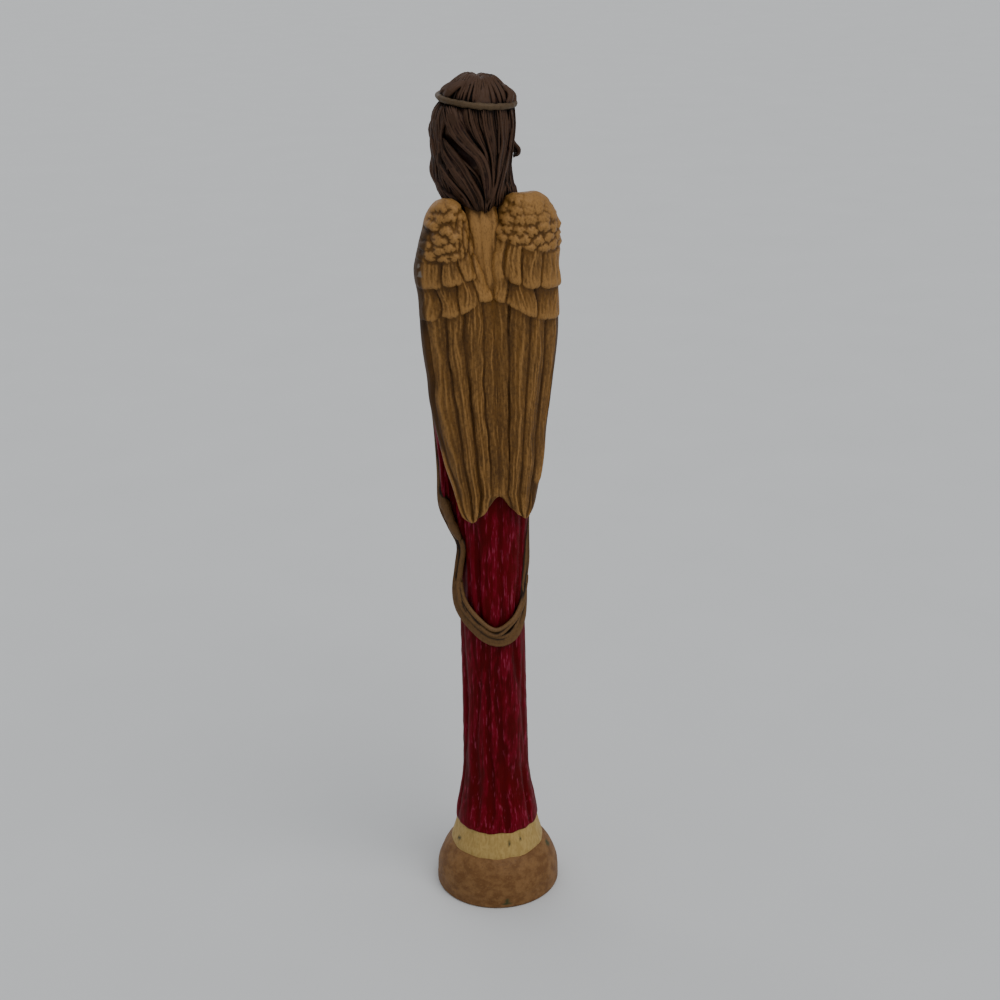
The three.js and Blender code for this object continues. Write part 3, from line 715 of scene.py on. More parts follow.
def add_spine_strip():
    line = [
        (3.1, 4.4, 265),
        (2.8, 6.8, 258),
        (2.7, 8.9, 249),
        (2.1, 10.4, 241),
        (1.5, 10.9, 236),
        (1.1, 11.2, 230),
    ]
    sizes = [[0, 6, 1.2], [0.22, 5.2, 1.2], [0.5, 4.2, 1.2], [0.75, 4.6, 0.9], [1, 5, 0.3]]
    angle = turns(40)
    across = np.cos(angle)
    thick = np.sin(angle) * (1 + 0.12 * np.cos(9 * across + 1) + 0.08 * np.cos(17 * across))
    shape = np.stack([across, thick], axis=1)

    def section(t):
        wide, thick = along(sizes, t)
        return wide * (1 + 0.05 * uneven(72, 4 * t)), thick * (1 + 0.1 * uneven(71, 3 * t))

    sweep(line, "gold", 50, section, (0, 1, 0.2), shape)


# Upper arm and hanging sleeve, given for the left: height, x and y of the back and of the front of
# the section, half width.
SLEEVE = [
    [SLEEVE_BOTTOM, 14.8, -2.6, 14.2, -4.8, 1.4],
    [153, 15.2, -1.8, 14, -6, 2.2],
    [160, 15.8, -1.2, 13.8, -7.8, 2.6],
    [172, 16.4, 0, 13.2, -10.4, 2.8],
    [185, 17.2, 0.8, 12, -13, 3.1],
    [196, 17.6, 1.4, 10.4, -15, 3.9],
    [205, 17.8, 1.8, 8.8, -16.4, 4.3],
    [210, 18, 2, 9.4, -15.2, 4.3],
    [216, 18.2, 1.6, 14, -8, 4.6],
    [225, 18.4, 1, 15.8, -5, 4.8],
    [240, 18, 0.8, 15.8, -4, 5],
    [249, 16.6, 0.4, 15, -3.4, 4.8],
    [254, 14.8, 0, 13.8, -2.6, 3.6],
    [256, 13.6, -0.4, 13, -1.8, 1.6],
]


def add_sleeve(side):
    angle = turns(46)
    z = np.concatenate([np.linspace(SLEEVE_BOTTOM, 252, 50), [253.5, 255, 256]])[:, None]
    back_x, back_y, front_x, front_y, wide = along(SLEEVE, z)
    middle_x, middle_y = (back_x + front_x) / 2, (back_y + front_y) / 2
    ahead_x, ahead_y = (front_x - back_x) / 2, (front_y - back_y) / 2
    half = np.hypot(ahead_x, ahead_y)
    ahead_x, ahead_y = ahead_x / half, ahead_y / half
    carved = smoothstep(250, 225, z) * smoothstep(SLEEVE_BOTTOM, 160, z)
    turned = angle + 0.25 * np.sin(z / 15 + angle) + 0.2 * side
    fold = 0.6 * np.cos(5 * turned) * np.cos(z / 17) + 0.3 * np.cos(11 * turned + z / 12)
    fold = carved * (fold + 0.15 * uneven_around(81 + side, 2, angle, z / 12))
    along_it = (half + wide + fold) * np.cos(angle)
    across = (wide + fold) * np.sin(angle)
    x = middle_x + along_it * ahead_x - across * ahead_y
    y = middle_y + along_it * ahead_y + across * ahead_x
    add_rings(stacked(x, y, z), "robe", side_move(side))


def add_forearm(side):
    """Forearm in its sleeve, and the cuff's rim."""
    move = side_move(side)
    line = [(14.4, -5.8, 205), (12, -11.4, 206), (8.6, -16, 210), (4.8, -18.6, 216)]

    def cloth(t):
        creases = 0.22 * np.sin(26 * t + side) * smoothstep(0.1, 0.4, t)
        return 3 + t + creases, 3 + 0.6 * t + creases

    sweep(line, "robe", 30, cloth, UPWARDS, circle(28), move)
    rim = [[0, 3.2], [0.12, 4.3], [0.5, 4.6], [0.88, 4.3], [1, 3.2]]

    def cuff(t):
        (radius,) = along(rim, t)
        return radius, radius - 0.2

    sweep([(5.6, -18.2, 214.6), (4.9, -18.6, 216.2)], "robe", 10, cuff, UPWARDS, circle(28), move)


# Heights of the fingertips, from the forefinger to the little one
FINGERTIPS = (HAND_TIP - 2.6, HAND_TIP - 0.4, HAND_TIP - 1.2, HAND_TIP - 3.6)


def add_hand(side):
    """Wrist, palm, fingers and thumb."""
    move = side_move(side)
    wrist = [(5.2, -18.3, 214.5), (4.1, -19, 218), (3, -19.4, 221)]
    sweep(wrist, "skin", 8, lambda t: (2.5 - 0.2 * t, 2 - 0.1 * t), SIDEWAYS, circle(20), move)
    palm = [(3.9, -18.9, 217.4), (2.9, -19.4, 221), (2.1, -19.8, 225), (1.7, -19.9, 229.5)]
    sizes = [[0, 2.2, 1.8], [0.35, 3, 1.85], [0.8, 3.1, 1.6], [1, 2.7, 1.2]]
    sweep(palm, "skin", 16, lambda t: along(sizes, t), SIDEWAYS, circle(24), move)
    for number, tip in enumerate(FINGERTIPS):
        y = -17.7 - 1.45 * number
        lower = 226.5 - 0.4 * number
        upper = y + 0.25 * (1.5 - number)
        finger = [
            (1.9, y, lower),
            (1.7, y, lower + 4),
            (1.5, (y + upper) / 2 - 0.1, (lower + tip) / 2 + 2),
            (1.05, upper + 0.3, tip),
        ]

        def section(t):
            knuckles = 0.06 * np.cos(2 * np.pi * (t - 0.4) * 2.6)
            size = (0.84 - 0.2 * t + knuckles) * rounded(t, end=0.09)
            return size, size * 1.05

        sweep(finger, "skin", 22, section, SIDEWAYS, circle(12), move)
    thumb = [(2.9, -17.4, 219), (2.5, -15.9, 223), (1.9, -15.4, 226.4), (1.3, -15.6, 229.4)]

    def thumb_size(t):
        share = rounded(t, end=0.14)
        return (1.3 - 0.45 * t) * share, (1.2 - 0.4 * t) * share

    sweep(thumb, "skin", 16, thumb_size, SIDEWAYS, circle(14), move)


# Points of the stole from the middle of the swag behind, round the outside of the sleeve and over
# the forearm to its free end in front: x on the left side and on the right, y, height.
STOLE = [
    [0, 0, 12.6, SWAG_BOTTOM + 2],
    [4.6, 4.4, 11.9, SWAG_BOTTOM + 3.4],
    [9.8, 7.8, 9.4, SWAG_BOTTOM + 8.5],
    [13.2, 9.2, 6.8, SWAG_BOTTOM + 14],
    [14.1, 9.6, 5.6, SWAG_BOTTOM + 21],
    [13, 10.8, 4.8, SWAG_BOTTOM + 29],
    [11.9, 11.2, 3.8, SWAG_BOTTOM + 37],
    [15, 11.8, 2, 149],
    [17.6, 13, -0.8, 156],
    [17.2, 16, -4.6, 167],
    [16.8, 16.8, -9, 184],
    [16.8, 17, -13, 197],
    [14.8, 14.8, -15.4, 207.5],
    [11.4, 11.4, -13.6, 212],
    [8.8, 8.8, -12.4, 207],
    [8, 8, -13, 196],
    [7.8, 7.8, -13.4, 176],
    [7.8, 7.8, -13.2, 150],
    [7.6, 7.6, -12.8, 125],
    [7.4, 7.4, -12.4, 112],
]


def stole_facing(places):
    """Away from the body, or from the forearm where the stole lies over it."""
    over = smoothstep(196, 206, places[:, 2])[:, None]
    arm = stacked(12.5 * np.sign(places[:, 0]), -13, 203)
    from_arm = places - arm
    from_arm = from_arm / np.linalg.norm(from_arm, axis=1, keepdims=True)
    return away_from_axis(places) * (1 - over) + from_arm * over


def add_stole():
    left = [(a, y, z) for a, _, y, z in STOLE]
    right = [(-b, y, z) for _, b, y, z in STOLE[:0:-1]]
    angle = turns(20)
    across = np.cos(angle)
    thick = np.sign(np.sin(angle)) * np.abs(np.sin(angle)) ** 0.6
    strands = np.where(np.sin(angle) > 0, 0.28 * np.cos(2.6 * np.pi * across), 0)
    shape = np.stack([across, thick + strands], axis=1)

    def section(t):
        from_end = np.minimum(t, 1 - t)
        flare = 1.4 * smoothstep(0.16, 0, from_end)
        narrow = 0.6 * smoothstep(0.545, 0.57, t) * smoothstep(0.64, 0.61, t)
        uneven_edge = 0.2 * uneven(91, 16 * t)
        return 2.4 + flare + uneven_edge - narrow, 1.25 + 0.16 * uneven(92, 17 * t)

    sweep([*right, *left], "trim", 220, section, stole_facing, shape, side_move(1))


def add_bunched_fold():
    """Fold of the stole bunched at the left, and the robe's cloth behind it."""
    fold = [(12.5, 5, 144), (13.8, 4, 147), (15.6, 2.2, 152), (17, 0.2, 157.5), (17.4, -1.8, 162)]

    def bunched(t):
        size = (1 + 0.1 * np.sin(11 * t) + 0.06 * np.sin(29 * t)) * rounded(t, 0.5, 0.3)
        return 2.2 * size, 1.8 * size

    sweep(fold, "trim", 26, bunched, away_from_axis, circle(14), side_move(1))
    behind = [(13.8, -2.4, 163), (13.4, -0.8, 156), (12.8, 0.4, 150), (12, 1.6, 144)]
    sweep(behind, "robe", 16, lambda t: (2.2 * rounded(t, 0.3, 0.3), 1.9), SIDEWAYS, circle(14))


def add_swag_folds():
    """Upper folds of the stole's swag, which part from the lower one at the right."""
    line = np.array(
        [
            (-10.8, 4.4, SWAG_BOTTOM + 24),
            (-9.8, 7, SWAG_BOTTOM + 18),
            (-7.6, 10.2, SWAG_BOTTOM + 12.9),
            (-4, 12.7, SWAG_BOTTOM + 9.2),
            (2, 13.5, SWAG_BOTTOM + 6.7),
            (7.6, 11.3, SWAG_BOTTOM + 10.6),
            (12, 7.8, SWAG_BOTTOM + 17),
            (13.6, 5.4, SWAG_BOTTOM + 25),
        ]
    )
    shape = circle(14) * (1 + 0.1 * np.cos(4 * turns(14)))[:, None]
    for lower, size in ((0, 0.85), (2.2, 1.05)):
        meeting = smoothstep(-5, 3, line[:, 0]) * smoothstep(13.8, 8, line[:, 0])
        places = line - stacked(0, 0.15 * lower * meeting, lower * (0.35 + 0.65 * meeting))

        def section(t):
            wide = size * (1 + 0.08 * uneven(93 + int(lower), 6 * t)) * (1.2 - 0.25 * np.sin(np.pi * t))
            return wide, wide * (1.05 + 0.08 * uneven(95, 7 * t))

        sweep(places, "trim", 56, section, away_from_axis, shape)


# Head. Places are first given about the head's centre, then set on the neck and tilted.
HEAD_TURN = Matrix.Rotation(-HEAD_TILT, 3, "Y")


def on_head(points):
    return points @ np.array(HEAD_TURN).T + HEAD_CENTRE


def off_head(points):
    return (points - HEAD_CENTRE) @ np.array(HEAD_TURN)


# Hair sections about the head's centre: height, half width, reach back, reach forward, centre x.
HAIR_TOP = HEIGHT - HEAD_CENTRE[2]
HAIR = [
    [-21.5, 4.4, 11.6, 1, -1],
    [-18.5, 9.8, 12.2, 3, -1.6],
    [-15, 13, 12.6, 6.6, -2.4],
    [-10, 12.5, 12.8, 9.2, -0.7],
    [-4, 12.6, 13.1, 11.4, 0.2],
    [3, 13.3, 13.2, 12.4, 0.7],
    [10, 13.1, 13.2, 12.6, 0.6],
    [14, 11.9, 12.6, 12.2, 0],
    [18, 10, 10.8, 10.4, 0],
    [HAIR_TOP - 3, 7.5, 8.2, 7.6, 0],
    [HAIR_TOP - 0.8, 4.2, 4.4, 4, 0],
    [HAIR_TOP, 1.6, 1.8, 1.4, 0],
]


def on_hair(angle, h, above):
    """Place at an angle from the back and height h on the hair's mass, and a height above it."""
    wide, back, front, centre = along(HAIR, h)
    facing = np.cos(angle)
    deep = np.where(facing > 0, back, front)
    return stacked(centre + (wide + above) * np.sin(angle), (deep + above) * facing, h)


def add_hair_mass():
    angle = turns(64)
    h = np.concatenate([np.linspace(-21, 20, 40), [20.9, 21.6, 22.1, 22.4]])[:, None]
    from_front = np.abs(angle - np.pi)
    arch = 0.95 * np.sqrt(np.clip((12 - h) / 12, 0, 1))
    opening = 1 - smoothstep(0, 1, (from_front - arch + 0.05) / 0.25)
    x = 13 * np.sin(angle)
    hollow = 1.7 * bell((h - 0.62 * x + 4) / 1.9) * smoothstep(0, 3, x) * smoothstep(13, 9, x)
    hollow = hollow * (np.cos(angle) > 0)
    points = on_hair(angle, h, -0.8 - hollow + 0.1 * uneven(101, angle * 3, h / 9))
    points[..., :2] *= (1 - 0.5 * opening)[..., None]
    add_rings(points, "hair", on_head)


strand_lines = []


def strand(points, radius, steps=18, flat=0.9):
    """One lock of hair through places on the head, thinning to its ends."""

    def section(t):
        size = radius * rounded(t, 0.2, 0.35)
        return size, flat * size

    sweep(points, "hair", steps, section, away_from_axis, circle(5 if radius < 0.7 else 6), on_head)
    strand_lines.append(on_head(curve(points, steps)[0]))


def strand_over(across, heights, above):
    """Places for a lock over the back of the head, from x and height."""
    wide, _, _, centre = along(HAIR, heights)
    furthest = 0.985
    angle = np.arcsin(np.clip((across - centre) / (wide + above), -furthest, furthest))
    return on_hair(angle, np.asarray(heights, float), np.asarray(above, float))


# Guides for the locks of the back, from the right side to the big lock at the left: x and height.
BACK_GUIDES = [
    [(-11.8, 14.5), (-12.7, 8), (-13, 2), (-12.8, -4), (-12.8, -9), (-13.4, -12.6), (-13, -15)],
    [(-10.4, 14.6), (-11.2, 8.4), (-11.4, 2.4), (-10.4, -3.6), (-9.2, -8.6), (-8.6, -13), (-8.6, -16)],
    [(-7.4, 14.8), (-8.2, 9), (-8.6, 3), (-8, -3), (-6.8, -8.5), (-5.8, -13.8), (-5.4, -18)],
    [(-2.4, 15), (-3.6, 9), (-4.6, 3), (-5.6, -2.4), (-5.6, -7.6), (-5, -13), (-4, -18.6)],
    [(2.6, 15), (1.4, 9.5), (-0.4, 4.4), (-3, -0.6), (-4.6, -5.6), (-4.8, -11.6), (-3.6, -18.8)],
    [(7, 14.6), (5.8, 10.4), (3.6, 6), (0.4, 1.2), (-2.6, -3.6), (-4.4, -9.8), (-3.7, -17)],
    [(10.6, 13.8), (9.6, 11.4), (7.6, 7.4), (4, 3), (0, -1), (-3, -6.4), (-3.8, -13.6)],
    [(12.6, 12.6), (11.4, 8.6), (8.8, 4.4), (5, 0.9), (1.4, -2.4), (-1.6, -7.4), (-3.2, -14.4)],
]

# Guides for the locks of the lower left, behind the big one: x and height.
LEFT_GUIDES = [
    [(6, -2.4), (3, -4.8), (0.2, -8), (-1.8, -11.8), (-2.8, -15.6), (-3.3, -19.4)],
    [(11.6, 3.4), (8.8, -0.6), (5.4, -4.6), (2.4, -9), (-0.6, -13.8), (-2.6, -19)],
    [(12.6, 2), (11.2, -2.4), (8.4, -6.6), (5.2, -10.6), (2, -14.6), (-1, -19.4)],
    [(13, -1), (12.2, -5.4), (10.2, -9.4), (7.4, -12.6), (4.6, -15.4), (2.2, -18.2)],
    [(13, -4), (12.6, -8.4), (11.2, -11.6), (9.8, -14), (8.2, -15.6), (6.4, -17.2)],
]

# Locks in each part of the hair
BACK_LOCKS = 116
LEFT_LOCKS = 84
FRONT_LOCKS = 26
SIDE_LOCKS = 24
CAP_LOCKS = 92


def between(guides, share):
    """A guide part of the way through a family of guides."""
    guides = np.array(guides, float)
    place = share * (len(guides) - 1)
    i = min(int(place), len(guides) - 2)
    return guides[i] + (guides[i + 1] - guides[i]) * (place - i)


def add_back_hair():
    """Locks that meet in a point at the nape, and the lower left ones behind the big lock."""
    rng = np.random.default_rng(111)
    lower_ends = [0, 0, 0, 0, 0, 0.4, 1.1]
    for k in range(BACK_LOCKS):
        share = k / (BACK_LOCKS - 1)
        guide = between(BACK_GUIDES, share) + rng.uniform(-0.35, 0.35, (7, 2)) * [1, 0.4]
        heights = guide[:, 1] - lower_ends
        sideways_wave = 0.25 * np.sin(heights / 2.3 + 6 * share)
        big = smoothstep(0.74, 0.86, share)
        lock = 0.6 * np.cos(2 * np.pi * 6 * share + 0.5 * np.sin(np.arange(7)))
        above = rng.uniform(-0.55, 0.3) + 1.3 * big + lock * (1 - 0.7 * big)
        above = above + 0.2 * np.sin(np.arange(7) * 1.3 + 9 * share)
        points = strand_over(guide[:, 0] + sideways_wave, heights, above)
        strand(points, rng.uniform(0.34, 0.6) + 0.1 * big, 24)
    behind_big = np.array([1, 1, 1, 0.6, 0.1, 0])
    for k in range(LEFT_LOCKS):
        share = k / (LEFT_LOCKS - 1)
        guide = between(LEFT_GUIDES, share) + rng.uniform(-0.3, 0.3, (6, 2)) * [1, 0.4]
        deep = -1.2 * smoothstep(0.34, 0.1, share) * behind_big
        lock = 0.55 * np.cos(2 * np.pi * 4 * share + 0.9)
        wave = 0.25 * np.sin(np.arange(6) * 1.6 + 7 * share)
        above = rng.uniform(-0.5, 0.25) + deep + lock + wave
        strand(strand_over(guide[:, 0], guide[:, 1], above), rng.uniform(0.34, 0.58), 20)


def add_side_hair(side):
    """Locks that frame the face and fall beside the neck."""
    rng = np.random.default_rng(120 + side)
    heights = np.array([14, 10, 5, 0, -5, -10, -14, -18])
    edge = np.array([174, 157, 140, 127, 123, 119, 110, 98])
    for k in range(FRONT_LOCKS):
        share = k / (FRONT_LOCKS - 1)
        wave = 3.5 * np.sin(heights / 3.4 + 5 * share + side) * smoothstep(13, 6, heights)
        angle = edge - 44 * share * smoothstep(16, 4, heights) - 10 * share + wave
        above = rng.uniform(-0.4, 0.2) + 0.35 * np.sin(heights / 2.2 + k) + 0.3 * np.cos(9 * share)
        points = on_hair(side * np.radians(angle), heights, above)
        strand(points, rng.uniform(0.5, 0.8), 22)
    for k in range(SIDE_LOCKS):
        start = 56 + 46 * (k + rng.uniform(-0.4, 0.4)) / (SIDE_LOCKS - 1)
        wave = 4 * np.sin(heights / 3 + 0.8 * k)
        angle = start + wave - 0.5 * np.clip(-heights, 0, 20)
        points = on_hair(side * np.radians(angle), heights, rng.uniform(-0.4, 0.2))
        strand(points, rng.uniform(0.45, 0.7), 22)


# Lumps of hair beside the circlet: degrees from the back, growing to the left, and the heights
# between which each stands.
CAP_LUMPS = [(78, 15.2, 21), (60, 15, 21.6), (-80, 14.8, 19.8), (-62, 15.2, 21)]


def add_cap_hair():
    """Short locks from the crown to the circlet, and the lumps beside it."""
    rng = np.random.default_rng(131)
    heights = np.array([HAIR_TOP, HAIR_TOP - 0.9, HAIR_TOP - 1.6, 21, 18.4, 16.2, 14.2])
    for k in range(CAP_LOCKS):
        angle = 2 * np.pi * (k + rng.uniform(-0.3, 0.3)) / CAP_LOCKS
        bend = rng.uniform(-0.1, 0.1) + 0.1 * np.sin(5 * angle)
        turned = angle + bend * np.array([0, 0.2, 0.4, 0.7, 0.9, 1, 1.1])
        parting = bell(np.sin(angle) / 0.22)
        lobes = -0.35 * np.cos(2 * angle) - 0.7 * parting
        above = rng.uniform(-0.5, 0.1) + lobes + np.array([-0.6, 0.1, 0, -0.1, 0, -0.1, -0.4])
        notched = heights - 0.9 * parting * np.array([1, 1, 0.9, 0.5, 0.2, 0, 0])
        points = on_hair(turned, notched, above)
        points[0] = [1.6 * math.sin(angle), 0.6 * math.cos(angle), HAIR_TOP - 1.6]
        strand(points, rng.uniform(0.38, 0.6), 14)
    for degrees, low, high in CAP_LUMPS:
        angle = np.radians([degrees + 14, degrees + 3, degrees - 8])
        for size, offset in ((1.2, 0), (0.85, 0.1), (0.85, -0.1)):
            heights = np.array([low, (low + high) / 2, high])
            strand(on_hair(angle + offset, heights, np.array([0.4, 1.5, 0.3])), size, 10)


# Loose ends that curl outwards: angle from the back in degrees, growing to the left, height about
# the head's centre and height above the hair.
CURLS = [
    [(100, 3, -0.8), (97, -4, -0.2), (94, -8.6, 0.8), (83, -12, 0.2), (68, -16, -0.7)],
    [(-95, 4.4, -0.6), (-97, 1.2, 1.3), (-98, -1.2, 3.6), (-99, -3, 3.1)],
]


def add_curls():
    for line in CURLS:
        degrees, heights, above = np.array(line, float).T
        for offset, drop, size in ((0, 0, 1.3), (5, 0.7, 0.9), (-5, -0.6, 0.9)):
            angle = np.radians(degrees + offset)
            points = on_hair(angle, heights + drop, above - 0.25 * abs(drop))
            strand(points, size, 18)


# Half width of the face, and reach forward, at h up from its middle.
FACE = [
    [-15.4, 1.4, 5],
    [-14.6, 4, 8.2],
    [-12, 6.3, 9.8],
    [-8, 8.4, 10.4],
    [-2, 10, 11],
    [4, 10.4, 11.6],
    [9, 9.8, 11.4],
    [13, 8, 9.6],
    [15.4, 4, 5],
]

# The nose: height, how far it stands out, half width.
NOSE = [
    [-6.1, 0, 1.7],
    [-5.5, 0.9, 1.75],
    [-4.9, 2.2, 1.6],
    [-4.1, 2.8, 1.4],
    [-3, 2.5, 1.15],
    [0, 1.6, 1.0],
    [3, 0.8, 1.15],
    [5.5, 0.3, 2],
    [8, 0, 2.5],
]

# The eyes, brows and mouth: places across and up, half width and half height.
EYE_ACROSS = 4
EYE_UP = 1.4
EYE_WIDE = 2.3
EYE_HIGH = 1.6
BROW_ACROSS = 3.8
MOUTH_UP = -8.6

# Soft forms of the face, the same on both sides: how far each stands out, its place across and up,
# half width and half height.
SOFT_FORMS = {
    "side of the nose": (0.9, 1.7, -4.7, 0.7, 0.7),
    "nostril": (-0.6, 0.85, -5.6, 0.35, 0.3),
    "eye socket": (-1.5, EYE_ACROSS, 1.9, 2.7, 2),
    "lower lip": (0.95, 0, -9.25, 1.9, 0.6),
    "groove above the lip": (-0.3, 0, -6.9, 0.45, 0.8),
    "hollow below the lip": (-0.45, 0, -10.9, 2.2, 0.7),
    "chin": (1, 0, -13, 2.4, 1.6),
    "cheek": (0.45, 5.4, -2.6, 2.4, 2.6),
}


def bump(x, h, cx, ch, wx, wh):
    return np.exp(-(((x - cx) / wx) ** 2) - ((h - ch) / wh) ** 2)


def lash_line(ex):
    """Height of the closed lid's edge at ex half widths from the eye's middle."""
    return EYE_UP - 0.25 - 0.75 * (1 - ex**2)


def brow_line(side, top):
    return top + 0.7 * (1 - ((side - BROW_ACROSS) / 3) ** 2)


def face_relief(x, h):
    """How far the features stand out towards the front at x across and h up."""
    side = np.abs(x)
    stands, wide = along(NOSE, h)
    relief = stands * bell(x / wide)
    for height, *form in SOFT_FORMS.values():
        relief = relief + height * bump(side, h, *form)
    ex, eh = (side - EYE_ACROSS) / EYE_WIDE, (h - EYE_UP) / EYE_HIGH
    relief = relief + 1.45 * np.sqrt(np.clip(1 - ex**2 - eh**2, 0, 1))
    lashes = bell((h - lash_line(ex)) / 0.2)
    crease = bell((h - 2.35 - 0.45 * (1 - ex**2)) / 0.25)
    relief = relief - (0.35 * lashes + 0.3 * crease) * smoothstep(1.08, 0.9, np.abs(ex))
    relief = relief + 0.4 * bell((h - brow_line(side, 4.5)) / 0.6) * smoothstep(7.4, 5.8, side)
    upper_lip = 0.75 * bell((h + 7.95) / 0.5)
    parting = 0.55 * bell((h - MOUTH_UP - 0.03 * x * x) / 0.17)
    return relief + (upper_lip - parting) * smoothstep(2.9, 2.1, side)


def add_face():
    h = np.concatenate([[-15.4, -15.1, -14.6], np.linspace(-14.2, 7, 84), np.linspace(7.8, 15.4, 8)])
    h = h[:, None]
    share = np.concatenate([np.linspace(-1, -0.66, 6)[:-1], np.linspace(-0.66, 0.66, 66)])
    share = np.concatenate([share, np.linspace(0.66, 1, 6)[1:]])[None, :]
    wide, deep = along(FACE, h)
    angle = share * np.pi / 2
    x = wide * np.sin(angle)
    y = -1.2 - deep * np.cos(angle) - (1 - np.abs(share)) * face_relief(x, h)
    rings = stacked(x, y, h)
    behind = stacked(np.zeros_like(h), np.full_like(h, 4), h)
    add_rings(np.concatenate([rings, behind], axis=1), "skin", on_head)
    for side in (1, -1):
        lobe = [(side * 9.6, -1.6, 3.6), (side * 10.4, -1.2, 1), (side * 9.8, -2, -2.4)]
        sweep(lobe, "skin", 10, lambda t: (1.1 * rounded(t, 0.3, 0.3), 0.8), SIDEWAYS, move=on_head)


def add_neck():
    angle = turns(40)
    table = [[256, 6, 2.6, -2], [262, 5.4, 2.9, -2.6], [267, 5.0, 3.0, -3.2], [273, 5.2, 3.2, -4]]
    z = np.linspace(256, 273, 18)[:, None]
    radius, cx, cy = along(table, z)
    cord = 0.35 * np.exp(-((np.abs(angle - np.pi) - 0.75) ** 2) / 0.03)
    radius = radius + cord * smoothstep(258, 264, z)
    add_rings(stacked(cx + radius * np.sin(angle), cy + radius * np.cos(angle), z), "skin")


# The circlet's rope: half its thickness, the turns of its strands, its tilt and centre
ROPE_RADIUS = 1.08
ROPE_TURNS = 30
CIRCLET_TURN = HEAD_TURN @ Matrix.Rotation(-0.05, 3, "X")
CIRCLET_CENTRE = np.array([1.9, HEAD_CENTRE[1] + 0.3, CIRCLET_HEIGHT])


def add_circlet():
    a, s = turns(150)[:, None], turns(14)[None, :]
    size = ROPE_RADIUS * (1 + 0.04 * np.cos(ROPE_TURNS * a + s) + 0.09 * uneven_around(141, 3, a))
    radius = CIRCLET_RADIUS + size * np.cos(s)
    points = stacked(radius * np.cos(a), radius * np.sin(a), size * np.sin(s))
    points = points.reshape(-1, 3) @ np.array(CIRCLET_TURN).T + CIRCLET_CENTRE
    index = np.arange(a.size * s.size).reshape(a.size, s.size)
    onward = np.roll(index, -1, axis=0)
    corners = [index, onward, np.roll(onward, -1, axis=1), np.roll(index, -1, axis=1)]
    faces = np.stack([corner.ravel() for corner in corners], axis=1)
    shapes.append((points, faces.tolist(), "bronze"))


add_base()
add_underskirt()
add_robe()
add_wing(1, LEFT_TOP_DROP)
add_wing(-1, 0)
add_spine_strip()
for side in (1, -1):
    add_sleeve(side)
    add_forearm(side)
    add_hand(side)
add_stole()
add_bunched_fold()
add_swag_folds()
add_neck()
add_face()
add_hair_mass()
add_back_hair()
add_side_hair(1)
add_side_hair(-1)
add_cap_hair()
add_curls()
add_circlet()


# One casting from all the shapes


def mesh_from(points, faces, zone):
    mesh = bpy.data.meshes.new(zone)
    mesh.from_pydata((points * MM).tolist(), [], faces)
    for name in ZONES:
        mesh.materials.append(materials[name])
    index = np.full(len(mesh.polygons), ZONES.index(zone), dtype=np.int32)
    mesh.polygons.foreach_set("material_index", index)
    mesh.update()
    return mesh


def finished(thing):
    """The object's mesh with its modifiers applied. The object itself is removed."""
    graph = bpy.context.evaluated_depsgraph_get()
    result = bpy.data.meshes.new_from_object(thing.evaluated_get(graph), depsgraph=graph)
    bpy.data.objects.remove(thing)
    return result


def union_of(meshes):
    """The meshes joined into one closed surface."""
    first = placed("first", meshes[0])
    others = bpy.data.collections.new("others")
    bpy.context.scene.collection.children.link(others)
    for mesh in meshes[1:]:
        others.objects.link(bpy.data.objects.new(mesh.name, mesh))
    joining = first.modifiers.new("joining", "BOOLEAN")
    joining.operation = "UNION"
    joining.operand_type = "COLLECTION"
    joining.collection = others
    joining.solver = "MANIFOLD"
    result = finished(first)
    for other in list(others.objects):
        bpy.data.objects.remove(other)
    bpy.data.collections.remove(others)
    return result


# Vertices nearer than this are merged into one
MERGE_DISTANCE = 0.03 * MM


def largest_part(mesh):
    """Keeps the outer skin: specks of surface shut inside the casting are dropped."""
    work = bmesh.new()
    work.from_mesh(mesh)
    bmesh.ops.remove_doubles(work, verts=work.verts, dist=MERGE_DISTANCE)
    bmesh.ops.triangulate(work, faces=work.faces)
    work.verts.ensure_lookup_table()
    seen = set()
    best = []
    for start in work.verts:
        if start.index in seen:
            continue
        seen.add(start.index)
        part = [start]
        for vert in part:
            for link in vert.link_edges:
                other = link.other_vert(vert)
                if other.index not in seen:
                    seen.add(other.index)
                    part.append(other)
        if len(part) > len(best):
            best = part
    kept = set(vert.index for vert in best)
    loose = [vert for vert in work.verts if vert.index not in kept]
    bmesh.ops.delete(work, geom=loose, context="VERTS")
    work.to_mesh(mesh)
    work.free()
    return mesh


def thinned(mesh, most):
    """Takes the flattest triangles away until no more than the number given are left."""
    count = len(mesh.polygons)
    if count <= most:
        return mesh
    holder = placed("holder", mesh)
    fewer = holder.modifiers.new("fewer", "DECIMATE")
    fewer.ratio = most / count
    return finished(holder)


# Values at the casting's vertices


def read(items, name, width=1, kind=float):
    """One row for each item of a mesh, with the value that it holds under the name."""
    values = np.empty(len(items) * width, dtype=kind)
    items.foreach_get(name, values)
    return values.reshape(-1, width) if width > 1 else values


def blurred(values, edges, rounds):
    """Values spread to their neighbours, several times over."""
    values = np.array(values, float)
    links = np.bincount(edges.ravel(), minlength=len(values)).astype(float)
    links = links.reshape((-1,) + (1,) * (values.ndim - 1))
    for _ in range(rounds):
        total = np.zeros_like(values)
        np.add.at(total, edges[:, 0], values[edges[:, 1]])
        np.add.at(total, edges[:, 1], values[edges[:, 0]])
        values = 0.4 * values + 0.6 * total / np.maximum(links, 1)
    return values


RAYS = 14
RAY_START = 0.05 * MM


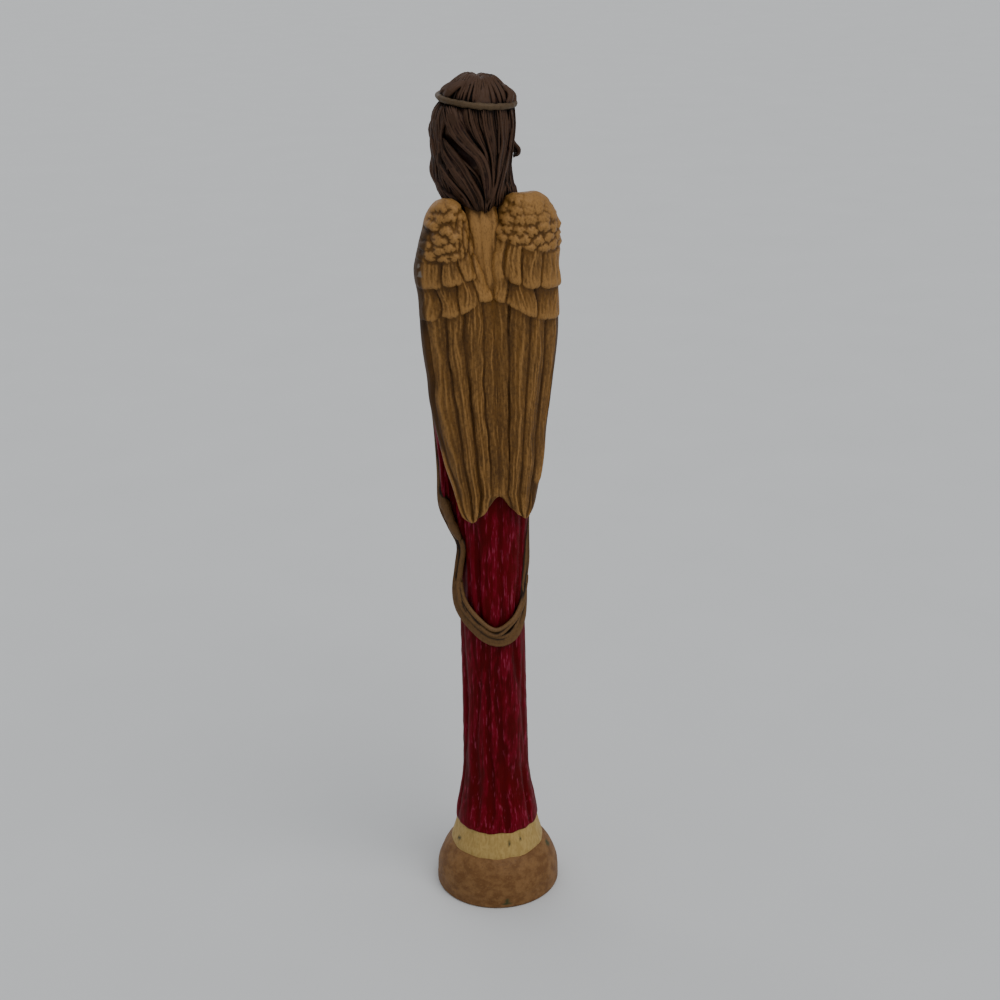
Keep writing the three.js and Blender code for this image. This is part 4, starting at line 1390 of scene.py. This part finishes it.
def openness(mesh, points, normals, reach):
    """Share of the directions from each vertex that are free of the casting within reach."""
    faces = [tuple(face.vertices) for face in mesh.polygons]
    tree = BVHTree.FromPolygons([Vector(point) for point in points], faces)
    rays = RAYS
    # The rays fan out round the normal in a spiral, over most of the half sphere
    golden_angle = np.pi * (3 - 5**0.5)
    widest = 0.92
    k = np.arange(rays) + 0.5
    high = np.sqrt(1 - widest * k / rays)
    flat = np.sqrt(1 - high**2)
    turn = golden_angle * k
    helper = np.where(np.abs(normals[:, 2:3]) > 0.8, [[1.0, 0, 0]], [[0, 0, 1.0]])
    one = np.cross(normals, helper)
    one /= np.maximum(np.linalg.norm(one, axis=1, keepdims=True), 1e-9)
    two = np.cross(normals, one)
    free = np.zeros(len(points))
    starts = points + normals * RAY_START
    for index, (start, normal, a, b) in enumerate(zip(starts, normals, one, two)):
        origin = Vector(start)
        clear = 0
        for r in range(rays):
            way = normal * high[r] + (a * math.cos(turn[r]) + b * math.sin(turn[r])) * flat[r]
            hit = tree.ray_cast(origin, Vector(way), reach)
            clear += 1 if hit[0] is None else min(1, hit[3] / reach) ** 2
        free[index] = clear / rays
    return free


def keep_values(mesh, name, values):
    layer = mesh.attributes.new(name, "FLOAT", "POINT")
    layer.data.foreach_set("value", np.asarray(values, dtype=np.float32))


def face_paint(points):
    """Strength of the dark lines and of the blush painted on the face, at each point."""
    x, y, h = off_head(points).T
    side = np.abs(x)
    front = smoothstep(-4, -6, y)
    ex = (side - EYE_ACROSS) / EYE_WIDE
    lashes = np.exp(-(((h - lash_line(ex)) / 0.26) ** 4)) * smoothstep(1.1, 0.95, np.abs(ex))
    brows = bell((h - brow_line(side, 4.7)) / 0.38)
    brows = brows * smoothstep(7.2, 6, side) * smoothstep(1.2, 2, side)
    bow = 0.75 + 0.25 * smoothstep(0, 0.9, side)
    high = np.where(h > MOUTH_UP, 0.95 * bow, 1.15) * np.sqrt(np.clip(1 - (side / 2.9) ** 2, 0.01, 1))
    lips = smoothstep(1.1, 0.8, np.abs(h - MOUTH_UP) / high)
    cheeks = 0.4 * bump(side, h, 5.2, -3.4, 2, 1.8)
    return np.clip(lashes + 0.8 * brows, 0, 1) * front, np.clip(lips + cheeks, 0, 1) * front


# Spots of green and olive on the base and underskirt, and pale chips at the left wing's edge:
# x, y, height, half size.
SPOTS = [
    (24.5, 6.8, 244.5, 0.8),
    (24.4, 8.2, 241.8, 1.1),
    (1.6, 23.3, 2.2, 1.5),
    (-18.5, 6.7, 15.2, 1.8),
    (15.6, 5.7, 21.8, 1),
    (-1.7, 16.1, 23, 0.5),
    (-5.9, 14.6, 24.5, 0.6),
]


def spots(points):
    """Share of a spot's paint at each point. A spot lies round the vertex nearest to its place."""
    total = np.zeros(len(points))
    for x, y, z, size in SPOTS:
        nearest = points[np.argmin(np.linalg.norm(points - [x, y, z], axis=1))]
        far = np.linalg.norm(points - nearest, axis=1) / size
        far = far * (1 + 0.25 * np.sin(3 * np.arctan2(points[:, 2] - z, points[:, 0] - x)))
        total = np.maximum(total, smoothstep(1, 0.6, far))
    return total


def painted_edge_shade(points):
    """Share of painted shade along the left wing's outer edge, dark as if in shadow."""
    x, y, z = points.T
    outer = wing_plan(z, 1)[1] + lean(z)
    height = smoothstep(216, 226, z) * smoothstep(262, 254, z)
    return smoothstep(2.4, 1, outer - x) * height * smoothstep(-1, 1, y)


def wear_and_highlight(points):
    """Share of bright gold: rubbed through on the spine strip and the swag, and a painted highlight on the
    right shoulder.
    """
    x, y, z = points.T
    # Painted highlight on the right shoulder, where the light falls
    shoulder = 0.35 * smoothstep(240, 262, z) * smoothstep(4, -12, x)
    swag = 0.2 * smoothstep(134, 126, z) * smoothstep(100, 106, z) * smoothstep(0, 5, y)
    return np.clip(0.9 * strip_share(points) + shoulder + swag, 0, 1)


def strand_tones(points):
    """A shade of its own for each lock of hair."""
    rng = np.random.default_rng(151)
    tree = KDTree(sum(len(line) for line in strand_lines))
    shades = []
    for line in strand_lines:
        shade = rng.uniform(0, 1)
        for place in line:
            tree.insert(Vector(place), len(shades))
            shades.append(shade)
    tree.balance()
    tones = np.array([shades[tree.find(Vector(point))[1]] for point in points])
    return tones + 0.3 * smoothstep(CIRCLET_HEIGHT, CIRCLET_HEIGHT + 3, points[:, 2])


def in_zone(mesh, name):
    """Numbers of the vertices of the faces painted as a zone."""
    corners = read(mesh.loops, "vertex_index", kind=np.int64)
    zone = read(mesh.polygons, "material_index", kind=np.int64)
    count = read(mesh.polygons, "loop_total", kind=np.int64)
    return np.unique(corners[np.repeat(zone, count) == ZONES.index(name)])


# Reach of the rays that find hollows
OPEN_REACH = 3 * MM

# Rounds of blurring that take away the fine relief, and the broad relief too
FINE_ROUNDS = 6
BROAD_ROUNDS = 40

# Millimetres of fine and of broad relief over which a ridge's value goes from none to full
FINE_RELIEF = 0.6
BROAD_RELIEF = 1.6

# Share of the openness that the painted shade on the wing's edge takes away
EDGE_SHADE = 0.75


def add_paint_values(mesh):
    """Keeps at each vertex what the paints ask for by name."""
    points = read(mesh.vertices, "co", 3)
    normals = read(mesh.vertex_normals, "vector", 3)
    edges = read(mesh.edges, "vertices", 2, np.int64)
    free = blurred(openness(mesh, points, normals, OPEN_REACH), edges, 1)
    fine = np.sum((points - blurred(points, edges, FINE_ROUNDS)) * normals, axis=1) / MM
    broad = np.sum((points - blurred(points, edges, BROAD_ROUNDS)) * normals, axis=1) / MM
    points = points / MM
    # Openness, lowered by the painted shade along the left wing's edge
    keep_values(mesh, "open", np.clip(free, 0, 1) * (1 - EDGE_SHADE * painted_edge_shade(points)))
    keep_values(mesh, "ridge", np.clip(0.5 + fine / FINE_RELIEF + broad / BROAD_RELIEF, 0, 1))
    lines, blush = face_paint(points)
    keep_values(mesh, "line", np.maximum(lines, spots(points)))
    keep_values(mesh, "blush", blush)
    keep_values(mesh, "wear_and_highlight", wear_and_highlight(points))
    tones = wing_tones(points)
    hair = in_zone(mesh, "hair")
    tones[hair] = strand_tones(points[hair])
    keep_values(mesh, "tone", tones)


# Materials


class Paint:
    """A material's node tree, with short ways to add to it."""

    def __init__(self, name):
        self.material = bpy.data.materials.new(name)
        self.material.use_nodes = True
        self.nodes = self.material.node_tree.nodes
        self.links = self.material.node_tree.links
        self.shader = self.nodes["Principled BSDF"]
        self.place = self.nodes.new("ShaderNodeTexCoord").outputs["Object"]

    def put(self, socket, value):
        if isinstance(value, bpy.types.NodeSocket):
            self.links.new(value, socket)
        else:
            socket.default_value = value

    def math(self, kind, a, b=0.0):
        node = self.nodes.new("ShaderNodeMath")
        node.operation = kind
        node.use_clamp = True
        self.put(node.inputs[0], a)
        self.put(node.inputs[1], b)
        return node.outputs[0]

    def times(self, a, b):
        return self.math("MULTIPLY", a, b)

    def plus(self, a, b):
        return self.math("ADD", a, b)

    def minus(self, a, b):
        return self.math("SUBTRACT", a, b)

    def value(self, name):
        node = self.nodes.new("ShaderNodeAttribute")
        node.attribute_name = name
        return node.outputs["Fac"]

    def noise(self, size, detail=3.0, roughness=0.55):
        """Noise with features of these sizes in millimetres along x, y and z."""
        mapping = self.nodes.new("ShaderNodeMapping")
        mapping.inputs["Scale"].default_value = [1 / (s * MM) for s in size]
        self.links.new(self.place, mapping.inputs["Vector"])
        node = self.nodes.new("ShaderNodeTexNoise")
        node.inputs["Scale"].default_value = 1.0
        node.inputs["Detail"].default_value = detail
        node.inputs["Roughness"].default_value = roughness
        self.links.new(mapping.outputs["Vector"], node.inputs["Vector"])
        return node.outputs["Fac"]

    def spread(self, value, low, high, to_low=0.0, to_high=1.0):
        """The value carried smoothly from one range to another."""
        node = self.nodes.new("ShaderNodeMapRange")
        node.interpolation_type = "SMOOTHSTEP"
        self.put(node.inputs["Value"], value)
        ends = {"From Min": low, "From Max": high, "To Min": to_low, "To Max": to_high}
        for name, end in ends.items():
            node.inputs[name].default_value = end
        return node.outputs["Result"]

    def wash_and_shade(self, low, high, most=1.0):
        """Share of the dark paint washed in, with painted shade, where the surface is closed in."""
        return self.spread(self.minus(1.0, self.value("open")), low, high, 0.0, most)

    def mix(self, share, a, b):
        node = self.nodes.new("ShaderNodeMix")
        node.data_type = "RGBA"
        self.put(node.inputs["Factor"], share)
        for name, colour in (("A", a), ("B", b)):
            linked = isinstance(colour, bpy.types.NodeSocket)
            self.put(node.inputs[name], colour if linked else (*colour, 1))
        return node.outputs["Result"]

    def relief(self, height, distance):
        node = self.nodes.new("ShaderNodeBump")
        node.inputs["Distance"].default_value = distance * MM
        node.inputs["Strength"].default_value = 1.0
        self.links.new(height, node.inputs["Height"])
        self.links.new(node.outputs["Normal"], self.shader.inputs["Normal"])

    def finish(self, colour, roughness, metallic=0.0, gloss=0.3):
        self.put(self.shader.inputs["Base Color"], colour)
        self.put(self.shader.inputs["Roughness"], roughness)
        self.shader.inputs["Metallic"].default_value = metallic
        self.shader.inputs["Specular IOR Level"].default_value = gloss
        return self.material


# Bare filler that shows where the gold is chipped
CHIP_COLOUR = (0.17, 0.14, 0.11)

# Brightness of the gold away from the wings
PLAIN_TONE = 0.48


def gold_paint(name, deep, middle, bright, metallic, on_wing=0.0):
    """Antique gold: dark paint washed into the hollows with painted shade there, gold rubbed over the
    ridges.
    """
    paint = Paint(name)
    patches = paint.noise((5, 5, 12))
    fibres = paint.noise((0.5, 0.5, 3.2), 4.0, 0.65)
    flecks = paint.noise((0.6, 0.6, 0.9), 3.0, 0.6)
    grain = paint.plus(paint.times(fibres, 0.5), paint.times(flecks, 0.5))
    # Gold rubbed bright on the strip and swag, and the painted highlight on the right shoulder
    gilt_wear_and_highlight = paint.times(paint.value("wear_and_highlight"), 0.3)
    high = paint.plus(paint.times(paint.value("tone"), on_wing), PLAIN_TONE * (1 - on_wing))
    high = paint.plus(high, gilt_wear_and_highlight)
    # Dark paint washed in, and painted shade, where the surface is closed in
    wash_and_shade = paint.plus(paint.minus(1.0, paint.value("open")), paint.times(grain, 0.25))
    wash_and_shade = paint.spread(paint.minus(wash_and_shade, gilt_wear_and_highlight), 0.36, 1.0, 0.0, 0.95)
    low = paint.spread(paint.plus(high, paint.times(grain, 0.3)), 0.28, 0.62, 0.75, 0.0)
    rub = paint.times(paint.plus(paint.value("ridge"), paint.times(grain, 0.3)), 0.6)
    rub = paint.spread(paint.plus(rub, paint.times(high, 0.6)), 0.54, 1.02)
    shade = [c * 0.7 for c in middle]
    colour = paint.mix(paint.spread(patches, 0.35, 0.68), middle, shade)
    colour = paint.mix(rub, colour, bright)
    colour = paint.mix(low, colour, [c * 1.4 for c in deep])
    colour = paint.mix(paint.spread(grain, 0.4, 0.52, 0.3, 0.0), colour, deep)
    colour = paint.mix(wash_and_shade, colour, deep)
    colour = paint.mix(paint.value("line"), colour, CHIP_COLOUR)
    paint.relief(grain, 0.09)
    rough = paint.spread(grain, 0.3, 0.7, 0.46, 0.62)
    return paint.finish(colour, rough, metallic, 0.25)


def robe_paint():
    """Deep crimson with thin pink strokes brushed down the folds."""
    paint = Paint("robe")
    strokes = paint.noise((1.6, 1.6, 13), 3.0, 0.6)
    hairs = paint.noise((0.7, 0.7, 5), 2.0, 0.6)
    patches = paint.noise((7, 7, 22))
    # Dark paint washed in, and painted shade, where the surface is closed in
    wash_and_shade = paint.wash_and_shade(0.25, 0.85)
    colour = paint.mix(paint.spread(patches, 0.35, 0.65), (0.09, 0.0002, 0.0014), (0.066, 0.0001, 0.001))
    rub = paint.plus(paint.times(paint.value("ridge"), 0.35), strokes)
    rub = paint.spread(paint.minus(rub, 0.2), 0.42, 0.66)
    rub = paint.times(rub, paint.spread(hairs, 0.36, 0.6, 0.4, 1.0))
    colour = paint.mix(paint.times(rub, 0.85), colour, (0.17, 0.0018, 0.013))
    streaks = paint.times(paint.spread(hairs, 0.55, 0.66), paint.spread(strokes, 0.42, 0.6))
    colour = paint.mix(paint.times(streaks, 0.5), colour, (0.3, 0.045, 0.085))
    colour = paint.mix(wash_and_shade, colour, (0.012, 0.0002, 0.0005))
    paint.relief(strokes, 0.12)
    return paint.finish(colour, paint.spread(hairs, 0.3, 0.7, 0.42, 0.58), 0.0, 0.06)


def hair_paint():
    paint = Paint("hair")
    fine = paint.noise((0.5, 0.5, 2.6), 4.0, 0.6)
    patches = paint.noise((6, 6, 8))
    # Dark paint washed in, and painted shade, where the surface is closed in
    wash_and_shade = paint.wash_and_shade(0.2, 0.72)
    colour = paint.mix(paint.spread(patches, 0.4, 0.65), (0.017, 0.0078, 0.0038), (0.021, 0.0064, 0.0038))
    rub = paint.times(paint.value("tone"), 0.5)
    rub = paint.plus(rub, paint.times(paint.value("ridge"), 0.7))
    rub = paint.plus(rub, paint.times(fine, 0.35))
    colour = paint.mix(paint.spread(rub, 0.6, 1.2, 0.0, 0.95), colour, (0.095, 0.048, 0.027))
    colour = paint.mix(wash_and_shade, colour, (0.0016, 0.0007, 0.0004))
    paint.relief(fine, 0.14)
    return paint.finish(colour, paint.spread(fine, 0.3, 0.7, 0.45, 0.62), 0.0, 0.15)


def skin_paint():
    paint = Paint("skin")
    fine = paint.noise((1.2, 1.2, 1.2), 3.0)
    # Dark paint washed in, and painted shade, where the surface is closed in
    wash_and_shade = paint.wash_and_shade(0.3, 0.95, 0.8)
    colour = paint.mix(fine, (0.56, 0.3, 0.19), (0.5, 0.25, 0.155))
    colour = paint.mix(paint.times(paint.value("blush"), 0.75), colour, (0.42, 0.09, 0.07))
    colour = paint.mix(wash_and_shade, colour, (0.17, 0.06, 0.03))
    colour = paint.mix(paint.times(paint.value("line"), 0.9), colour, (0.045, 0.022, 0.014))
    paint.relief(fine, 0.03)
    return paint.finish(colour, paint.spread(fine, 0.3, 0.7, 0.42, 0.52))


def linen_paint():
    """Cream with olive specks left by the brush."""
    paint = Paint("linen")
    fine = paint.noise((0.9, 0.9, 3), 3.0)
    specks = paint.noise((1.5, 1.5, 1.9), 2.0, 0.55)
    # Dark paint washed in, and painted shade, where the surface is closed in
    wash_and_shade = paint.wash_and_shade(0.3, 0.95, 0.8)
    colour = paint.mix(paint.spread(fine, 0.35, 0.65), (0.43, 0.285, 0.09), (0.35, 0.225, 0.064))
    colour = paint.mix(paint.spread(specks, 0.58, 0.72, 0.0, 0.35), colour, (0.2, 0.15, 0.03))
    colour = paint.mix(wash_and_shade, colour, (0.12, 0.065, 0.015))
    colour = paint.mix(paint.value("line"), colour, (0.03, 0.03, 0.008))
    paint.relief(fine, 0.12)
    return paint.finish(colour, paint.spread(fine, 0.3, 0.7, 0.5, 0.62))


def ground_paint():
    """Mottled earth brown with two green dabs."""
    paint = Paint("ground")
    mottle = paint.noise((4, 4, 3), 4.0, 0.6)
    grain = paint.noise((0.7, 0.7, 0.7), 3.0, 0.6)
    colour = paint.mix(paint.spread(mottle, 0.35, 0.65), (0.136, 0.056, 0.013), (0.21, 0.102, 0.032))
    colour = paint.mix(paint.spread(grain, 0.55, 0.75, 0.0, 0.4), colour, (0.3, 0.155, 0.06))
    colour = paint.mix(paint.spread(grain, 0.42, 0.3, 0.0, 0.35), colour, (0.07, 0.025, 0.007))
    # Dark paint washed in, and painted shade, where the surface is closed in
    wash_and_shade = paint.wash_and_shade(0.3, 0.9, 0.8)
    colour = paint.mix(wash_and_shade, colour, (0.05, 0.018, 0.005))
    colour = paint.mix(paint.times(paint.value("line"), 0.85), colour, (0.02, 0.04, 0.009))
    paint.relief(grain, 0.1)
    return paint.finish(colour, paint.spread(grain, 0.3, 0.7, 0.55, 0.7))


materials = {
    "gold": gold_paint("gold", (0.03, 0.011, 0.001), (0.14, 0.06, 0.008), (0.33, 0.167, 0.046), 0.15, 1.0),
    "trim": gold_paint("trim", (0.012, 0.005, 0.001), (0.019, 0.0072, 0.0016), (0.16, 0.08, 0.027), 0.15),
    "robe": robe_paint(),
    "hair": hair_paint(),
    "skin": skin_paint(),
    "linen": linen_paint(),
    "ground": ground_paint(),
    "bronze": gold_paint("bronze", (0.012, 0.006, 0.002), (0.05, 0.028, 0.012), (0.1, 0.063, 0.031), 0.2),
}

casting = largest_part(union_of([mesh_from(*shape) for shape in shapes]))
casting = thinned(casting, TRIANGLES)
add_paint_values(casting)
casting.shade_smooth()

figurine = placed("angel_casting", casting)
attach(figurine, "root")
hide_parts("angel_figurine")


# Pale floor and soft light

# Half the floor's width, in metres
FLOOR_REACH = 12


def add_floor():
    work = bmesh.new()
    bmesh.ops.create_grid(work, x_segments=2, y_segments=2, size=FLOOR_REACH)
    mesh = bpy.data.meshes.new("floor")
    work.to_mesh(mesh)
    work.free()
    paint = Paint("floor")
    tone = paint.noise((60, 60, 60), 2.0)
    colour = paint.mix(tone, (0.66, 0.67, 0.67), (0.7, 0.71, 0.71))
    mesh.materials.append(paint.finish(colour, 0.9))
    floor = placed("floor", mesh)
    floor.location.z = -0.2 * MM


def add_sun(name, direction, spread, strength):
    data = bpy.data.lights.new(name, "SUN")
    data.angle = math.radians(spread)
    data.energy = strength
    light = placed(name, data)
    light.rotation_euler = (-Vector(direction)).to_track_quat("-Z", "Y").to_euler()


add_floor()
add_sun("key", (-0.45, 0.75, 1.3), 40, 1.15)
add_sun("front", (0.3, -1.3, 0.9), 60, 0.5)

world = bpy.data.worlds.new("world")
world.use_nodes = True
sky = world.node_tree.nodes["Background"].inputs
sky["Color"].default_value = (0.75, 0.77, 0.8, 1)
sky["Strength"].default_value = 0.66
bpy.context.scene.world = world

bpy.context.view_layer.update()
